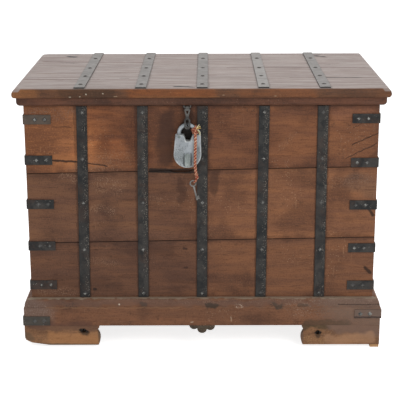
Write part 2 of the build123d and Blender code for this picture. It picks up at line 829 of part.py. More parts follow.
# ---------------------------------------------------------------- hasp
# The hasp's own plane: X across it, Y up along it, the pivot at the origin.
lean_sin = sin(radians(hasp_lean))
lean_cos = cos(radians(hasp_lean))
hasp_plane = Plane(
    origin=(lock_x, front_y - hasp_pivot_out, hasp_pivot_z), x_dir=(1, 0, 0), z_dir=(0, -lean_cos, lean_sin)
)
roll_plane = Plane(origin=hasp_plane.origin, x_dir=(0, 1, 0), z_dir=(1, 0, 0))
hasp_slot = hasp_width - 2 * hasp_bar


def tapered(top_at, top_width, bottom_at, bottom_width):
    """A symmetric four-sided patch down the hasp, its ends given as distances from the pivot."""
    with BuildSketch() as patch:
        with BuildLine():
            Polyline(
                (-top_width / 2, -top_at),
                (top_width / 2, -top_at),
                (bottom_width / 2, -bottom_at),
                (-bottom_width / 2, -bottom_at),
                close=True,
            )
        make_face()
    return patch.sketch


with BuildPart() as hasp:
    with BuildSketch(hasp_plane.offset(-hasp_thickness / 2)):
        add(tapered(hasp_roll_radius / 2, hasp_roll_length, hasp_shoulder_at, hasp_width))
        add(tapered(hasp_shoulder_at, hasp_width, hasp_waist_at, hasp_waist))
        add(tapered(hasp_waist_at, hasp_waist, hasp_drop - hasp_eye_length / 2, hasp_waist))
        with Locations((0, -hasp_drop)):
            SlotOverall(hasp_eye_length + 2 * hasp_bar, hasp_width, rotation=90)
            SlotOverall(hasp_eye_length, hasp_slot, rotation=90, mode=Mode.SUBTRACT)
        opening_at = hasp_roll_radius + hasp_bar
        add(tapered(opening_at, hasp_slot, hasp_waist_at - hasp_bar, hasp_waist_slot), mode=Mode.SUBTRACT)
    extrude(amount=hasp_thickness)
    with BuildSketch(roll_plane):
        Circle(hasp_roll_radius)
    extrude(amount=hasp_roll_length / 2, both=True)
    with BuildSketch(roll_plane):
        Circle(staple_rod / 2 + pin_clearance)
    extrude(amount=hasp_roll_length, both=True, mode=Mode.SUBTRACT)
keep(hasp.part, "hasp")

# ---------------------------------------------------------------- shackle
# Everything on the padlock is placed from the top of the shackle: X across, Y up, Z outwards.
lock_plane = Plane(origin=(lock_x, front_y - shackle_out, staple_z), x_dir=(1, 0, 0), z_dir=(0, -1, 0))
leg_x = shackle_span / 2
eye_radius = shackle_rod / 2 + eye_swell
eye_length = shackle_rod - 2 * eye_shoulder
leg_end = -shackle_rise - shackle_leg
with BuildPart() as shackle:
    with BuildLine(lock_plane) as shackle_line:
        Line((-leg_x, -pivot_drop), (-leg_x, -shackle_rise))
        ThreePointArc((-leg_x, -shackle_rise), (0, 0), (leg_x, -shackle_rise))
        Line((leg_x, -shackle_rise), (leg_x, leg_end))
    with BuildSketch(Plane(origin=shackle_line.line @ 0, z_dir=shackle_line.line % 0)):
        Circle(shackle_rod / 2)
    sweep()
    with BuildSketch(lock_plane):
        with Locations((-leg_x, -pivot_drop)):
            Circle(eye_radius)
    extrude(amount=eye_length / 2, both=True)
    with BuildSketch(lock_plane):
        with Locations((-leg_x, -pivot_drop)):
            Circle(shackle_pin_radius + pin_clearance)
    extrude(amount=shackle_rod, both=True, mode=Mode.SUBTRACT)
keep(shackle.part, "shackle")

# ---------------------------------------------------------------- padlock body
lock_back = lock_plane.offset(-lock_thickness / 2)
lock_front = lock_plane.offset(lock_thickness / 2)
notch_left = notch_shift - notch_top_width / 2
notch_right = notch_shift + notch_top_width / 2
notch_taper = (notch_top_width - notch_bottom_width) / 2
with BuildPart() as padlock_body:
    with BuildSketch(lock_back) as lock_outline:
        with BuildLine():
            Polyline(
                (lock_width / 2, -lock_belly),
                (lock_width / 2 - lock_shoulder_in, -lock_shoulder),
                (notch_right, -lock_shoulder),
                (notch_right - notch_taper, -lock_shoulder - notch_depth),
                (notch_left + notch_taper, -lock_shoulder - notch_depth),
                (notch_left, -lock_shoulder),
                (lock_width / 2 - lock_top_width, -lock_shoulder),
                (-lock_width / 2, -lock_belly),
            )
            belly_left = (-lock_width / 2, -lock_belly)
            belly_right = (lock_width / 2, -lock_belly)
            ThreePointArc(belly_left, (0, -lock_bottom), belly_right)
        make_face()
        fillet(lock_outline.vertices(), radius=lock_corner)
    extrude(amount=lock_thickness)
    rims = padlock_body.faces().filter_by(Axis.Y)
    fillet(rims.edges(), radius=lock_edge)
    # Room for the shackle's hinged end, open upwards and to the side it turns towards.
    room = eye_radius + slot_end_play
    with BuildSketch(lock_plane):
        with Locations((-leg_x, -pivot_drop)):
            Circle(room)
            with Locations(((room - lock_width) / 2, (lock_width - slot_floor) / 2)):
                Rectangle(room + lock_width, lock_width + slot_floor)
    extrude(amount=shackle_rod / 2 + slot_play, both=True, mode=Mode.SUBTRACT)
    # The socket for the shackle's free end.
    with BuildSketch(Plane(origin=(lock_x, front_y - shackle_out, staple_z + leg_end - socket_play))):
        with Locations((leg_x, 0)):
            Circle(shackle_rod / 2 + socket_play)
    extrude(amount=lock_width, mode=Mode.SUBTRACT)
    with BuildSketch(lock_plane):
        with Locations((-leg_x, -pivot_drop)):
            Circle(shackle_pin_radius)
    extrude(amount=lock_thickness, both=True, mode=Mode.SUBTRACT)
    with BuildSketch(lock_front):
        with Locations((0, -keyhole_drop)):
            Circle(keyhole_radius)
        with Locations((0, -keyhole_drop - keyhole_slot / 2)):
            Rectangle(keyhole_slot_width, keyhole_slot)
    extrude(amount=-keyhole_depth, mode=Mode.SUBTRACT)
    # The sunk panel that shows beside the keyhole's cover.
    with BuildSketch(lock_front):
        with Locations((0, -(cover_recess_top + cover_recess_bottom) / 2)):
            Rectangle(cover_recess_width, cover_recess_bottom - cover_recess_top)
    extrude(amount=-cover_recess_depth, mode=Mode.SUBTRACT)
    with BuildSketch(lock_front):
        with Locations((0, -cover_pivot_drop)):
            Circle(rivet_radius)
    extrude(amount=-keyhole_depth / 2, mode=Mode.SUBTRACT)
keep(padlock_body.part, "padlock_body")

# ---------------------------------------------------------------- keyhole cover and rivets
cover_foot = cover_pivot_drop + cover_length - cover_top_radius - cover_foot_radius
with BuildPart() as keyhole_cover:
    with BuildSketch(lock_front.offset(clearance)):
        with Locations((0, -cover_pivot_drop)):
            Circle(cover_top_radius)
        with Locations((0, -cover_foot)):
            Circle(cover_foot_radius)
        make_hull()
        with Locations((0, -cover_pivot_drop)):
            Circle(rivet_radius + pin_clearance, mode=Mode.SUBTRACT)
    extrude(amount=cover_thickness)
keep(keyhole_cover.part, "keyhole_cover")

cover_space = cover_thickness + 2 * clearance
with BuildPart() as padlock_rivets:
    with BuildSketch(lock_front.offset(-keyhole_depth / 2)):
        with Locations((0, -cover_pivot_drop)):
            Circle(rivet_radius)
    extrude(amount=keyhole_depth / 2 + cover_space)
    with BuildSketch(lock_front.offset(cover_space)):
        with Locations((0, -cover_pivot_drop)):
            Circle(rivet_head_radius)
    extrude(amount=rivet_head, taper=rivet_head_taper)
    with BuildSketch(lock_back):
        with Locations((-leg_x, -pivot_drop)):
            Circle(shackle_pin_radius)
    extrude(amount=lock_thickness)
    with BuildSketch(lock_front):
        with Locations((-leg_x, -pivot_drop)):
            Circle(rivet_head_radius)
    extrude(amount=rivet_head / 2, taper=rivet_head_taper)
keep(padlock_rivets.part, "padlock_rivets")

# ---------------------------------------------------------------- key
# The key hangs below the padlock, in a plane parallel to its front.
key_plane = lock_front.offset(cord_rest)
bow = (key_x, -key_drop)
hang_cos = cos(radians(key_hang_angle))
hang_sin = sin(radians(key_hang_angle))
hang_in = key_bow_radius - key_bow_rod / 2 - link_cord / 2 - pin_clearance
link_in = hang_in + link_radius
hang = (bow[0] + hang_in * hang_cos, bow[1] + hang_in * hang_sin)
link_middle = (bow[0] + link_in * hang_cos, bow[1] + link_in * hang_sin)
shank_plane = Plane(
    origin=key_plane.from_local_coords((bow[0], bow[1], 0)),
    x_dir=(cos(radians(key_lean)), 0, sin(radians(key_lean))),
    z_dir=(sin(radians(key_lean)), 0, -cos(radians(key_lean))),
)
with BuildPart() as key:
    with Locations(Plane(origin=shank_plane.origin, z_dir=(0, 1, 0))):
        Torus(key_bow_radius, key_bow_rod / 2)
    with BuildSketch(shank_plane.offset(key_bow_radius)):
        Circle(key_shank_radius)
    extrude(amount=key_length - key_bow_radius)
    with BuildSketch(shank_plane.offset(key_bow_radius + key_bow_rod)):
        Circle(key_collar_radius)
    extrude(amount=key_collar)
    bit_start = key_length - key_bit_length - key_shank_radius
    with BuildSketch(shank_plane.offset(bit_start)):
        with Locations((key_bit_out / 2, 0)):
            Rectangle(key_bit_out, key_bit_thickness)
    extrude(amount=key_bit_length)
    with BuildSketch(shank_plane.offset(bit_start + (key_bit_length - key_ward) / 2)):
        with Locations((key_bit_out, 0)):
            Rectangle(key_bit_out, 2 * key_bit_thickness)
    extrude(amount=key_ward, mode=Mode.SUBTRACT)
keep(key.part, "key")

# ---------------------------------------------------------------- cord and its knots
# One turn of the cord round the shackle, and one through the key's bow.
knot_sin = sin(radians(knot_angle))
knot_cos = cos(radians(knot_angle))
knot_radius = shackle_rod / 2 + knot_cord / 2 + knot_gap
knot_middle = (leg_x * knot_sin, -shackle_rise + leg_x * knot_cos)
with BuildPart() as cord_knots:
    knot_centre = lock_plane.from_local_coords((knot_middle[0], knot_middle[1], 0))
    with Locations(Plane(origin=knot_centre, x_dir=(0, 1, 0), z_dir=(knot_cos, 0, -knot_sin))):
        Torus(knot_radius, knot_cord / 2)
    link_centre = key_plane.from_local_coords((link_middle[0], link_middle[1], 0))
    with Locations(Plane(origin=link_centre, x_dir=(0, 1, 0), z_dir=(-hang_sin, 0, hang_cos))):
        Torus(link_radius, link_cord / 2)
keep(cord_knots.part, "cord_knots")

cord_out = cord_rest + lock_thickness / 2
link_out = link_radius + 2.0
cord_points = [
    (knot_middle[0] + 0.6, knot_middle[1] - 1.0, knot_radius + 0.5),
    (cord_x + 0.8, -shackle_rise - 8.0, cord_out + 0.5),
    (cord_x, -shackle_rise - 40.0, cord_out),
    (cord_x - 1.0, -shackle_rise - 75.0, cord_out + 0.5),
    (cord_x - 0.4, -shackle_rise - 105.0, cord_out),
    (link_middle[0] + link_out * hang_cos, link_middle[1] + link_out * hang_sin, cord_out),
]


def bend_radii(points):
    """For each inner point, the largest arc that leaves a straight piece on both sides."""
    radii = []
    for before, here, after in zip(points, points[1:], points[2:]):
        run_in = Vector(*here) - Vector(*before)
        run_out = Vector(*after) - Vector(*here)
        half_turn = radians(run_in.get_angle(run_out)) / 2
        radii.append(0.45 * min(run_in.length, run_out.length) / tan(half_turn))
    return radii


cord_radii = bend_radii(cord_points)
with BuildPart() as key_cord:
    with BuildLine(lock_plane) as cord_line:
        FilletPolyline(*cord_points, radius=cord_radii)
    with BuildSketch(Plane(origin=cord_line.line @ 0, z_dir=cord_line.line % 0)):
        Circle(cord_diameter / 2)
    sweep()
    cord_volume = key_cord.part.volume
    add(cord_knots.part, mode=Mode.SUBTRACT)
keep(key_cord.part, "key_cord")

cord_length = sum(edge.length for edge in cord_line.edges())
section = pi * cord_diameter**2 / 4
print("cord radii", [round(radius, 1) for radius in cord_radii], "length", round(cord_length, 1))
print("cord volume", round(cord_volume, 1), "section times length", round(section * cord_length, 1))
for point in cord_points:
    print("cord point", tuple(round(v, 2) for v in lock_plane.from_local_coords(point)))
print("front", round(front_y, 2), "back", round(back_y, 2), "hasp lean", round(hasp_lean, 2))
print("levels", floor_top, plinth_top, round(body_top, 2), round(lid_top, 2))
print("hasp pivot", round(hasp_pivot_z, 2))
print("hasp out", round(hasp_reach, 2), "hinge axis", round(hinge_y, 2), round(hinge_z, 2))
print("shackle axis", round(lock_plane.origin.Y, 3), round(staple_z, 3))
print("key hang", key_plane.from_local_coords((*hang, 0)))
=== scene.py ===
# %% [markdown]
# # An old iron-bound chest
# The chest is a long box of wide boards held by nailed iron straps. It stands on a moulded
# plinth with bracket feet, and a padlock with its key on a cord hangs on the front. The CAD
# model gives every shape and size; this lesson adds the finishes and the small pieces that
# only a renderer needs.

from math import cos, pi, radians, sin

import bmesh
import bpy
from mathutils import Matrix, Vector


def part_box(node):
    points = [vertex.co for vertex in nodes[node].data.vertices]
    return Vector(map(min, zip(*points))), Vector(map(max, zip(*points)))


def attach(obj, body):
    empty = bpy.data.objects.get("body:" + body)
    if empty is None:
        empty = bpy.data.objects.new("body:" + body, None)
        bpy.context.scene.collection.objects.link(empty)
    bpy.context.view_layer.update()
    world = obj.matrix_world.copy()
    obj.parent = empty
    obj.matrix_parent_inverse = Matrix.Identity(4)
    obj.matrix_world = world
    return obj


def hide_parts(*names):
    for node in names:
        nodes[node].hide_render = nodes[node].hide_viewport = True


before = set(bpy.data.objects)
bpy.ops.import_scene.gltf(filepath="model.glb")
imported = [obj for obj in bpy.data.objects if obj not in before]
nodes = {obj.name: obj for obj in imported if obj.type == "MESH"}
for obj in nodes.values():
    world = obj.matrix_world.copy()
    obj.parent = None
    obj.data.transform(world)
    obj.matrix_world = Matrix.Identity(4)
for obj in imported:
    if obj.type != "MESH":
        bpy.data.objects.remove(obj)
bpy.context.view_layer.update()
front_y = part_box("front_board_top")[0][1]

# %% [markdown]
# ## Camera
# Furniture is usually shown from the front and a little above, from far away, so that upright
# edges stay nearly parallel. A long lens could be pointed by a constraint; three plain turns
# are used instead, because they can be set one after the other.

# %% Camera
distance, eye_height, lens = 3.2224, 1.3695, 104.77
tilt, turn, roll = 0.2784, 0.0017, -0.003
camera_data = bpy.data.cameras.new("camera")
camera = bpy.data.objects.new("camera", camera_data)
bpy.context.collection.objects.link(camera)
bpy.context.scene.camera = camera
camera_data.sensor_width = 36.0
camera_data.lens = lens
eye = Vector((0.0004, front_y - distance, eye_height))
look = Matrix.Rotation(turn, 4, "Z") @ Matrix.Rotation(pi / 2 - tilt, 4, "X")
camera.matrix_world = Matrix.Translation(eye) @ look @ Matrix.Rotation(roll, 4, "Z")
print("camera at", tuple(eye))

# %% [markdown]
# ## Nodes by name
# Every finish here is a network of shader nodes. Adding a node takes three steps: make it,
# set it, and feed its inputs. One helper does all three. An output knows which network it
# belongs to, so a node that follows others needs only their outputs, and a recipe stays short.


# %% Add, set and feed a node
def feed(socket, value):
    """Connects an output to a socket, or sets the socket to a constant."""
    if isinstance(value, bpy.types.NodeSocket):
        value.id_data.links.new(value, socket)
    elif value is not None:
        socket.default_value = value


def node(tree, kind, inputs=(), **settings):
    """Adds a node with its settings. Its inputs come in order, or by name."""
    made = tree.nodes.new(kind)
    for name, value in settings.items():
        setattr(made, name, value)
    for key, value in inputs.items() if isinstance(inputs, dict) else enumerate(inputs):
        feed(made.inputs[key], value)
    return made


def follow(kind, inputs, **settings):
    """Adds a node to the tree that its inputs come from."""
    values = inputs.values() if isinstance(inputs, dict) else inputs
    tree = next(value.id_data for value in values if isinstance(value, bpy.types.NodeSocket))
    return node(tree, kind, inputs, **settings)


def math(operation, a, b=None, clamp=False):
    return follow("ShaderNodeMath", (a, b), operation=operation, use_clamp=clamp).outputs[0]


def times(a, b):
    return math("MULTIPLY", a, b)


def band(value, low, high, to_low=0.0, to_high=1.0, ease="SMOOTHSTEP"):
    """Maps a value from one range to another, held inside it."""
    inputs = {"Value": value, "From Min": low, "From Max": high, "To Min": to_low, "To Max": to_high}
    return follow("ShaderNodeMapRange", inputs, interpolation_type=ease).outputs["Result"]


def axis_of(here, name):
    """One coordinate of a place: X, Y or Z."""
    return follow("ShaderNodeSeparateXYZ", (here,)).outputs[name]


print("node helpers ready")

# %% [markdown]
# ## White surroundings
# A chest like this is shown on plain white. More light would bleach the wood, so the ground is
# only white to what looks at it: the camera, a reflection or a glass. The light that falls on
# the chest comes from a dimmer world.


# %% World
def white_to_the_eye(dull, white):
    """One shader for light that falls on the chest, and another for rays that look."""
    path = node(dull.id_data, "ShaderNodeLightPath").outputs
    seen = math("MAXIMUM", path["Is Camera Ray"], path["Is Glossy Ray"])
    seen = math("MAXIMUM", seen, path["Is Transmission Ray"])
    return follow("ShaderNodeMixShader", (seen, dull, white)).outputs[0]


pure_white = (1.0, 1.0, 1.0, 1.0)
world = bpy.data.worlds.new("studio")
bpy.context.scene.world = world
bpy.context.scene.view_settings.view_transform = "Standard"
world.use_nodes = True
tree = world.node_tree
tree.nodes.clear()
dim = node(tree, "ShaderNodeBackground", {"Color": pure_white, "Strength": 0.5})
bright = node(tree, "ShaderNodeBackground", {"Color": pure_white, "Strength": 1.0})
surface = white_to_the_eye(dim.outputs[0], bright.outputs[0])
node(tree, "ShaderNodeOutputWorld", {"Surface": surface})
print("world lights the scene at", dim.inputs["Strength"].default_value)

# %% [markdown]
# ## Floor
# The floor glows a little, so that only a faint shadow is left on it. Through the hole in each
# front foot the camera sees a spot of floor. There a dark patch of painted shade stands for the
# deep shade under the chest, because a white spot would read as a light in the foot. Four soft
# edges, multiplied, bound the spots, and the sign of X is dropped, so that one pair of limits
# serves both feet.

# %% Floor
bpy.ops.object.select_all(action="DESELECT")
bpy.ops.mesh.primitive_plane_add(size=30.0, location=(0.0, 0.0, 0.0))
floor = bpy.context.object
floor.name = "studio_floor"
bpy.ops.object.transform_apply(location=True, rotation=True, scale=True)
floor_finish = bpy.data.materials.new("white_floor")
floor_finish.use_nodes = True
tree = floor_finish.node_tree
tree.nodes.clear()
paint = node(tree, "ShaderNodeBsdfDiffuse", {"Color": (0.9, 0.9, 0.9, 1.0)}).outputs[0]
glow = node(tree, "ShaderNodeEmission", {"Color": pure_white, "Strength": 0.8}).outputs[0]
# a dark floor: painted shade in the spots seen through the feet's holes
shade = node(tree, "ShaderNodeBsdfDiffuse", {"Color": (0.05, 0.04, 0.03, 1.0)}).outputs[0]
here = node(tree, "ShaderNodeTexCoord").outputs["Object"]
aside = math("ABSOLUTE", axis_of(here, "X"))
# the left hole is higher, so its spot lies further back
terms = (axis_of(here, "X"), 0.0247, axis_of(here, "Y"))
lean = follow("ShaderNodeMath", terms, operation="MULTIPLY_ADD").outputs[0]
limits = [
    band(place, outer, inner, ease="LINEAR")
    for place, outer, inner in (
        (aside, 0.344, 0.347),
        (aside, 0.375, 0.372),
        (lean, front_y + 0.104, front_y + 0.107),
        (lean, front_y + 0.131, front_y + 0.128),
    )
]
painted_shade_spot = limits[0]
for limit in limits[1:]:
    painted_shade_spot = times(painted_shade_spot, limit)
lit = follow("ShaderNodeAddShader", (paint, glow)).outputs[0]
seen = follow("ShaderNodeMixShader", (painted_shade_spot, lit, shade)).outputs[0]
node(tree, "ShaderNodeOutputMaterial", {"Surface": white_to_the_eye(paint, seen)})
floor.data.materials.append(floor_finish)
print("floor", tuple(floor.dimensions))

# %% [markdown]
# ## Lamps
# Shiny iron and dull wood both show their colour in soft light from several sides. A sun lamp
# would give hard shadows under the straps, so three large soft boxes are used.


# %% Lamps
def soft_lamp(name, place, aim, width, power):
    """A square soft box at one place, turned towards another."""
    data = bpy.data.lights.new(name, "AREA")
    data.size = width
    data.energy = power
    lamp = bpy.data.objects.new(name, data)
    bpy.context.collection.objects.link(lamp)
    lamp.location = place
    lamp.rotation_euler = (Vector(aim) - Vector(place)).to_track_quat("-Z", "Y").to_euler()


soft_lamp("key_light", (2.3, -3.0, 2.7), (0.1, 0.0, 0.4), 2.0, 50.0)
soft_lamp("fill_light", (-2.6, -2.6, 1.6), (0.0, 0.0, 0.4), 2.4, 12.0)
soft_lamp("top_light", (0.3, 1.2, 3.0), (0.0, 0.1, 0.6), 2.6, 30.0)

# %% [markdown]
# ## Patterns
# A procedural finish starts from patterns in space. Noise gives clouds and, when the space is
# stretched, grain; Voronoi cells give separate specks.


# %% Patterns
def noise(vector, scale, detail=3.0, roughness=0.55, distortion=0.0):
    inputs = {"Vector": vector, "Scale": scale, "Detail": detail, "Roughness": roughness}
    return follow("ShaderNodeTexNoise", {**inputs, "Distortion": distortion}).outputs["Fac"]


def specks(vector, scale, feature="F1"):
    """How far each point is from the middle of its speck."""
    inputs = {"Vector": vector, "Scale": scale}
    return follow("ShaderNodeTexVoronoi", inputs, feature=feature).outputs["Distance"]


def stretch(vector, scale, turn=(0.0, 0.0, 0.0)):
    return follow("ShaderNodeMapping", {"Vector": vector, "Scale": scale, "Rotation": turn}).outputs[0]


def by_vector(operation, a, b, out="Vector"):
    return follow("ShaderNodeVectorMath", (a, b), operation=operation).outputs[out]


print("patterns ready")

# %% [markdown]
# ## Colours
# Paint and dirt lie over the wood in layers. Each layer is a mask and a colour. Colours are
# written as they look on a screen, 0 to 255, and are turned into light values when they are
# used.


# %% Colours
def srgb(red, green, blue):
    """Screen values turned into light values."""
    shares = [part / 255.0 for part in (red, green, blue)]
    return (*[s / 12.92 if s <= 0.04045 else ((s + 0.055) / 1.055) ** 2.4 for s in shares], 1.0)


def blend(mask, a, b, how="MIX"):
    """Mixes two colours by a mask. A colour is an output, or three screen values."""
    a, b = (srgb(*c) if isinstance(c, tuple) and len(c) == 3 else c for c in (a, b))
    inputs = {0: mask, 6: a, 7: b}
    return follow("ShaderNodeMix", inputs, data_type="RGBA", blend_type=how, clamp_factor=True).outputs[2]


soot_and_shade = (16, 11, 9)
dark_wood = (40, 26, 20)
stain_and_shade = (60, 38, 29)
pale = (158, 126, 102)
seam_red = (92, 62, 56)
grey_wood = (124, 104, 92)
print("soot as light values", srgb(*soot_and_shade))

# %% [markdown]
# ## Groups and materials
# Boards and straps share their patterns, so each pattern is built once as a node group with
# named inputs. A material then holds one Principled shader, the groups it needs and its bump.


# %% Groups and materials
def group(name, inputs, outputs):
    """An empty group: its tree, what it is given, and the end that takes its results."""
    made = bpy.data.node_groups.new(name, "ShaderNodeTree")
    for socket, default in inputs.items():
        kind = "NodeSocketFloat" if isinstance(default, float) else "NodeSocketVector"
        entry = made.interface.new_socket(socket, in_out="INPUT", socket_type=kind)
        if default is not None:
            entry.default_value = default
    for socket in outputs:
        made.interface.new_socket(socket, in_out="OUTPUT", socket_type="NodeSocketFloat")
    return made, made.nodes.new("NodeGroupInput").outputs, made.nodes.new("NodeGroupOutput")


def give(end, **results):
    """Hands a group's results to its end."""
    for name, value in results.items():
        feed(end.inputs[name], value)
    print("group", end.id_data.name, "gives", *results)


def use(made, **values):
    """Places a group in a material and returns what it gives."""
    return follow("ShaderNodeGroup", values, node_tree=made).outputs


def finish(name, specular):
    """A new material, its Principled shader and the piece's own coordinates."""
    made = bpy.data.materials.new(name)
    made.use_nodes = True
    tree = made.node_tree
    shader = tree.nodes["Principled BSDF"]
    shader.inputs["Specular IOR Level"].default_value = specular
    return made, shader, node(tree, "ShaderNodeTexCoord").outputs["Object"]


def raise_by(shader, height, strength, depth):
    """Bump: the surface catches the light as if it rose with the height value."""
    bump = follow("ShaderNodeBump", {"Strength": strength, "Distance": depth, "Height": height})
    feed(shader.inputs["Normal"], bump.outputs[0])


def dress(material, *names):
    """Puts a finish on CAD nodes."""
    for name in names:
        piece = nodes[name]
        piece.data.materials.clear()
        piece.data.materials.append(material)


print("group and material helpers ready")

# %% [markdown]
# ## Wood figure
# Old teak boards show long figure along the board, broad patches where they have been handled,
# and fine dark pores. Each comes from noise in a space stretched along X. A shift moves the
# whole pattern, so that no two boards are alike.

# %% Wood figure
figure, given, end = group(
    "wood figure",
    {"Vector": None, "Shift": 0.0},
    ("Tone", "Streaks", "Pores", "Patches", "Fibre", "Height"),
)
shift = follow("ShaderNodeCombineXYZ", [given["Shift"]] * 3).outputs[0]
place = by_vector("ADD", given["Vector"], shift)
long_grain = stretch(place, (1.6, 14.0, 14.0))
fine_grain = stretch(place, (9.0, 150.0, 150.0))
streaks = noise(long_grain, 9.0, 6.0, 0.7, 1.2)
pores = band(noise(fine_grain, 3.0, 3.0, 0.7), 0.60, 0.74)
give(
    end,
    Tone=noise(long_grain, 2.2, 5.0, 0.6, 0.6),
    Streaks=streaks,
    Pores=pores,
    Patches=noise(place, 7.0, 3.0, 0.5, 0.4),
    Fibre=noise(stretch(place, (8.0, 90.0, 90.0)), 3.0, 4.0, 0.75, 0.8),
    Height=math("SUBTRACT", times(streaks, 0.6), times(pores, 0.5)),
)

# %% [markdown]
# ## Marks of use
# Use leaves pale chips where the surface has flaked, dark bruises and thin scratches. Each is
# kept only where a broad noise is high, so that they come in clusters.

# %% Marks of use
marks, given, end = group(
    "marks of use",
    {"Vector": None, "Amount": 0.5},
    ("Chips", "Bruises", "Scratches", "Height"),
)
place = given["Vector"]
where = math("ADD", noise(place, 9.0, 2.0, 0.6), times(given["Amount"], 0.3))
dots = specks(stretch(place, (0.6, 1.0, 1.0)), 190.0)
blots = noise(place, 44.0, 4.0, 0.7, 0.5)
lines = noise(stretch(place, (60.0, 60.0, 5.0), (0.0, 0.5, 0.0)), 4.0, 2.0, 0.5)
chips = times(band(dots, 0.22, 0.06), band(where, 0.70, 0.82))
bruises = times(band(blots, 0.60, 0.70), band(where, 0.50, 0.66))
give(
    end,
    Chips=chips,
    Bruises=bruises,
    Scratches=times(band(lines, 0.64, 0.74), band(where, 0.60, 0.74)),
    Height=math("SUBTRACT", 0.0, math("ADD", chips, bruises)),
)

# %% [markdown]
# ## Dirt along edges
# Dirt gathers along the two long edges of a board. Painting it in would not follow a change of
# size, so the group measures how far a point is from a low and a high line, and roughens that
# distance with noise.

# %% Dirt along edges
edge_dirt, given, end = group(
    "edge dirt",
    {"Vector": None, "Place": 0.0, "Low": 0.0, "High": 1.0, "Reach": 0.02},
    ("Dirt", "Rim"),
)
to_low = math("SUBTRACT", given["Place"], given["Low"])
to_high = math("SUBTRACT", given["High"], given["Place"])
near = math("DIVIDE", math("MINIMUM", to_low, to_high), given["Reach"])
uneven = band(noise(given["Vector"], 26.0, 4.0, 0.65), 0.3, 0.7, 0.55, -0.55)
give(
    end,
    Dirt=band(math("ADD", near, uneven), 1.0, 0.05),
    Rim=band(near, 0.16, 0.02),
)

# %% [markdown]
# ## A mark at its place
# Some marks have a place of their own: a crack, a gouge, a stain, the painted shadow beside the
# lock. One group measures the distance to the line between two points, seen along one axis, and
# fades out at a given width. Wide ones are stains and patches of painted light and shade, and
# narrow ones cracks.

# %% A mark at its place
one_mark, given, end = group(
    "mark at a place",
    {"Vector": None, "Plane": (1.0, 0.0, 1.0), "From": None, "To": None, "Width": 0.01},
    ("Mask",),
)
flat, first, last = (
    by_vector("MULTIPLY", given[name], given["Plane"]) for name in ("Vector", "From", "To")
)
line = by_vector("SUBTRACT", last, first)
offset = by_vector("SUBTRACT", flat, first)
reach = by_vector("DOT_PRODUCT", offset, line, "Value")
whole = by_vector("DOT_PRODUCT", line, line, "Value")
along = math("DIVIDE", reach, whole, clamp=True)
nearest = follow("ShaderNodeVectorMath", {0: line, "Scale": along}, operation="SCALE").outputs[0]
away = by_vector("DISTANCE", offset, nearest, "Value")
give(end, Mask=band(math("DIVIDE", away, given["Width"]), 1.0, 0.35))

# %% [markdown]
# ## Many marks on one face
# A finish takes a table of marks, one row each. Straight edges would look drawn, so the
# coordinates are first pushed about by noise: finely for a crack, broadly for a stain. Object
# coordinates run through the whole board, and a limit along one axis keeps the marks on the
# face that is meant.


# %% Many marks on one face
def shaken(vector, scale, reach):
    """The same coordinates pushed about by noise, so that what is drawn on them is ragged."""
    cloud = follow("ShaderNodeTexNoise", {"Vector": vector, "Scale": scale, "Detail": 3.0})
    push = by_vector("SUBTRACT", cloud.outputs["Color"], (0.5, 0.5, 0.5))
    return by_vector("ADD", vector, by_vector("MULTIPLY", push, (reach,) * 3))


on_front = ((1.0, 0.0, 1.0), lambda x, z: (x, 0.0, z))
on_top = ((1.0, 1.0, 0.0), lambda x, back: (x, front_y + back, 0.0))
crack_width = 0.008
torn_squeeze = 0.45


def placed_marks(rows, face=on_front, only=("Y", 0.01, 0.0)):
    """Rows of (x, z, x, z, width) in millimetres, then (strength, tint, kinds).

    A "tone" multiplies what is below, "flecks" break up into specks, and a "torn" mark has a
    firm and broken edge. Marks fade in between two values along the axis given by only.
    """
    plane, at = face
    axis, none, full = only

    def add(here, colour, height):
        ragged = shaken(here, 60.0, 0.008)
        cloudy = shaken(here, 22.0, 0.045)
        torn = shaken(by_vector("MULTIPLY", here, (torn_squeeze, 1.0, 1.0)), 70.0, 0.024)
        torn = by_vector("MULTIPLY", torn, (1.0 / torn_squeeze, 1.0, 1.0))
        broken = band(noise(here, 280.0, 3.0, 0.7, 0.6), 0.52, 0.62)
        on_face = band(axis_of(here, axis), none, full)
        for row in rows:
            x1, z1, x2, z2, width = (value / 1000.0 for value in row[:5])
            strength, tint, *kinds = row[5:]
            vector = torn if "torn" in kinds else cloudy if width > crack_width else ragged
            ends = {"From": at(x1, z1), "To": at(x2, z2)}
            found = use(one_mark, Vector=vector, Plane=plane, Width=width, **ends)["Mask"]
            mask = times(times(found, strength), on_face)
            if "flecks" in kinds:
                mask = times(mask, broken)
            if "tone" in kinds:
                colour = blend(mask, colour, (*tint, 1.0), "MULTIPLY")
            else:
                colour = blend(mask, colour, tint)
            if width < crack_width:
                height = math("SUBTRACT", height, mask)
        return colour, height

    return add


def layers(*steps):
    """Several steps of a finish, one over the other."""

    def add(here, colour, height):
        for step in steps:
            colour, height = step(here, colour, height)
        return colour, height

    return add


print("marks up to", crack_width, "m wide are cut into the surface")

# %% [markdown]
# ## Painted shade beside the straps
# The corner between a strap and the board is darkened with painted shade, which stands for the
# shadow along each strap. The five straps stand evenly, so rounding X to the nearest strap
# gives the distance to it, with no need to name each one.

# %% Painted shade beside the straps
strap_spacing = 0.172


def from_strap(here, shift=0.0):
    """How far a point lies to the right of the middle of the nearest upright strap."""
    spaces = math("DIVIDE", math("SUBTRACT", axis_of(here, "X"), shift), strap_spacing)
    nearest = math("MAXIMUM", math("MINIMUM", math("ROUND", spaces), 2.0), -2.0)
    return times(math("SUBTRACT", spaces, nearest), strap_spacing)


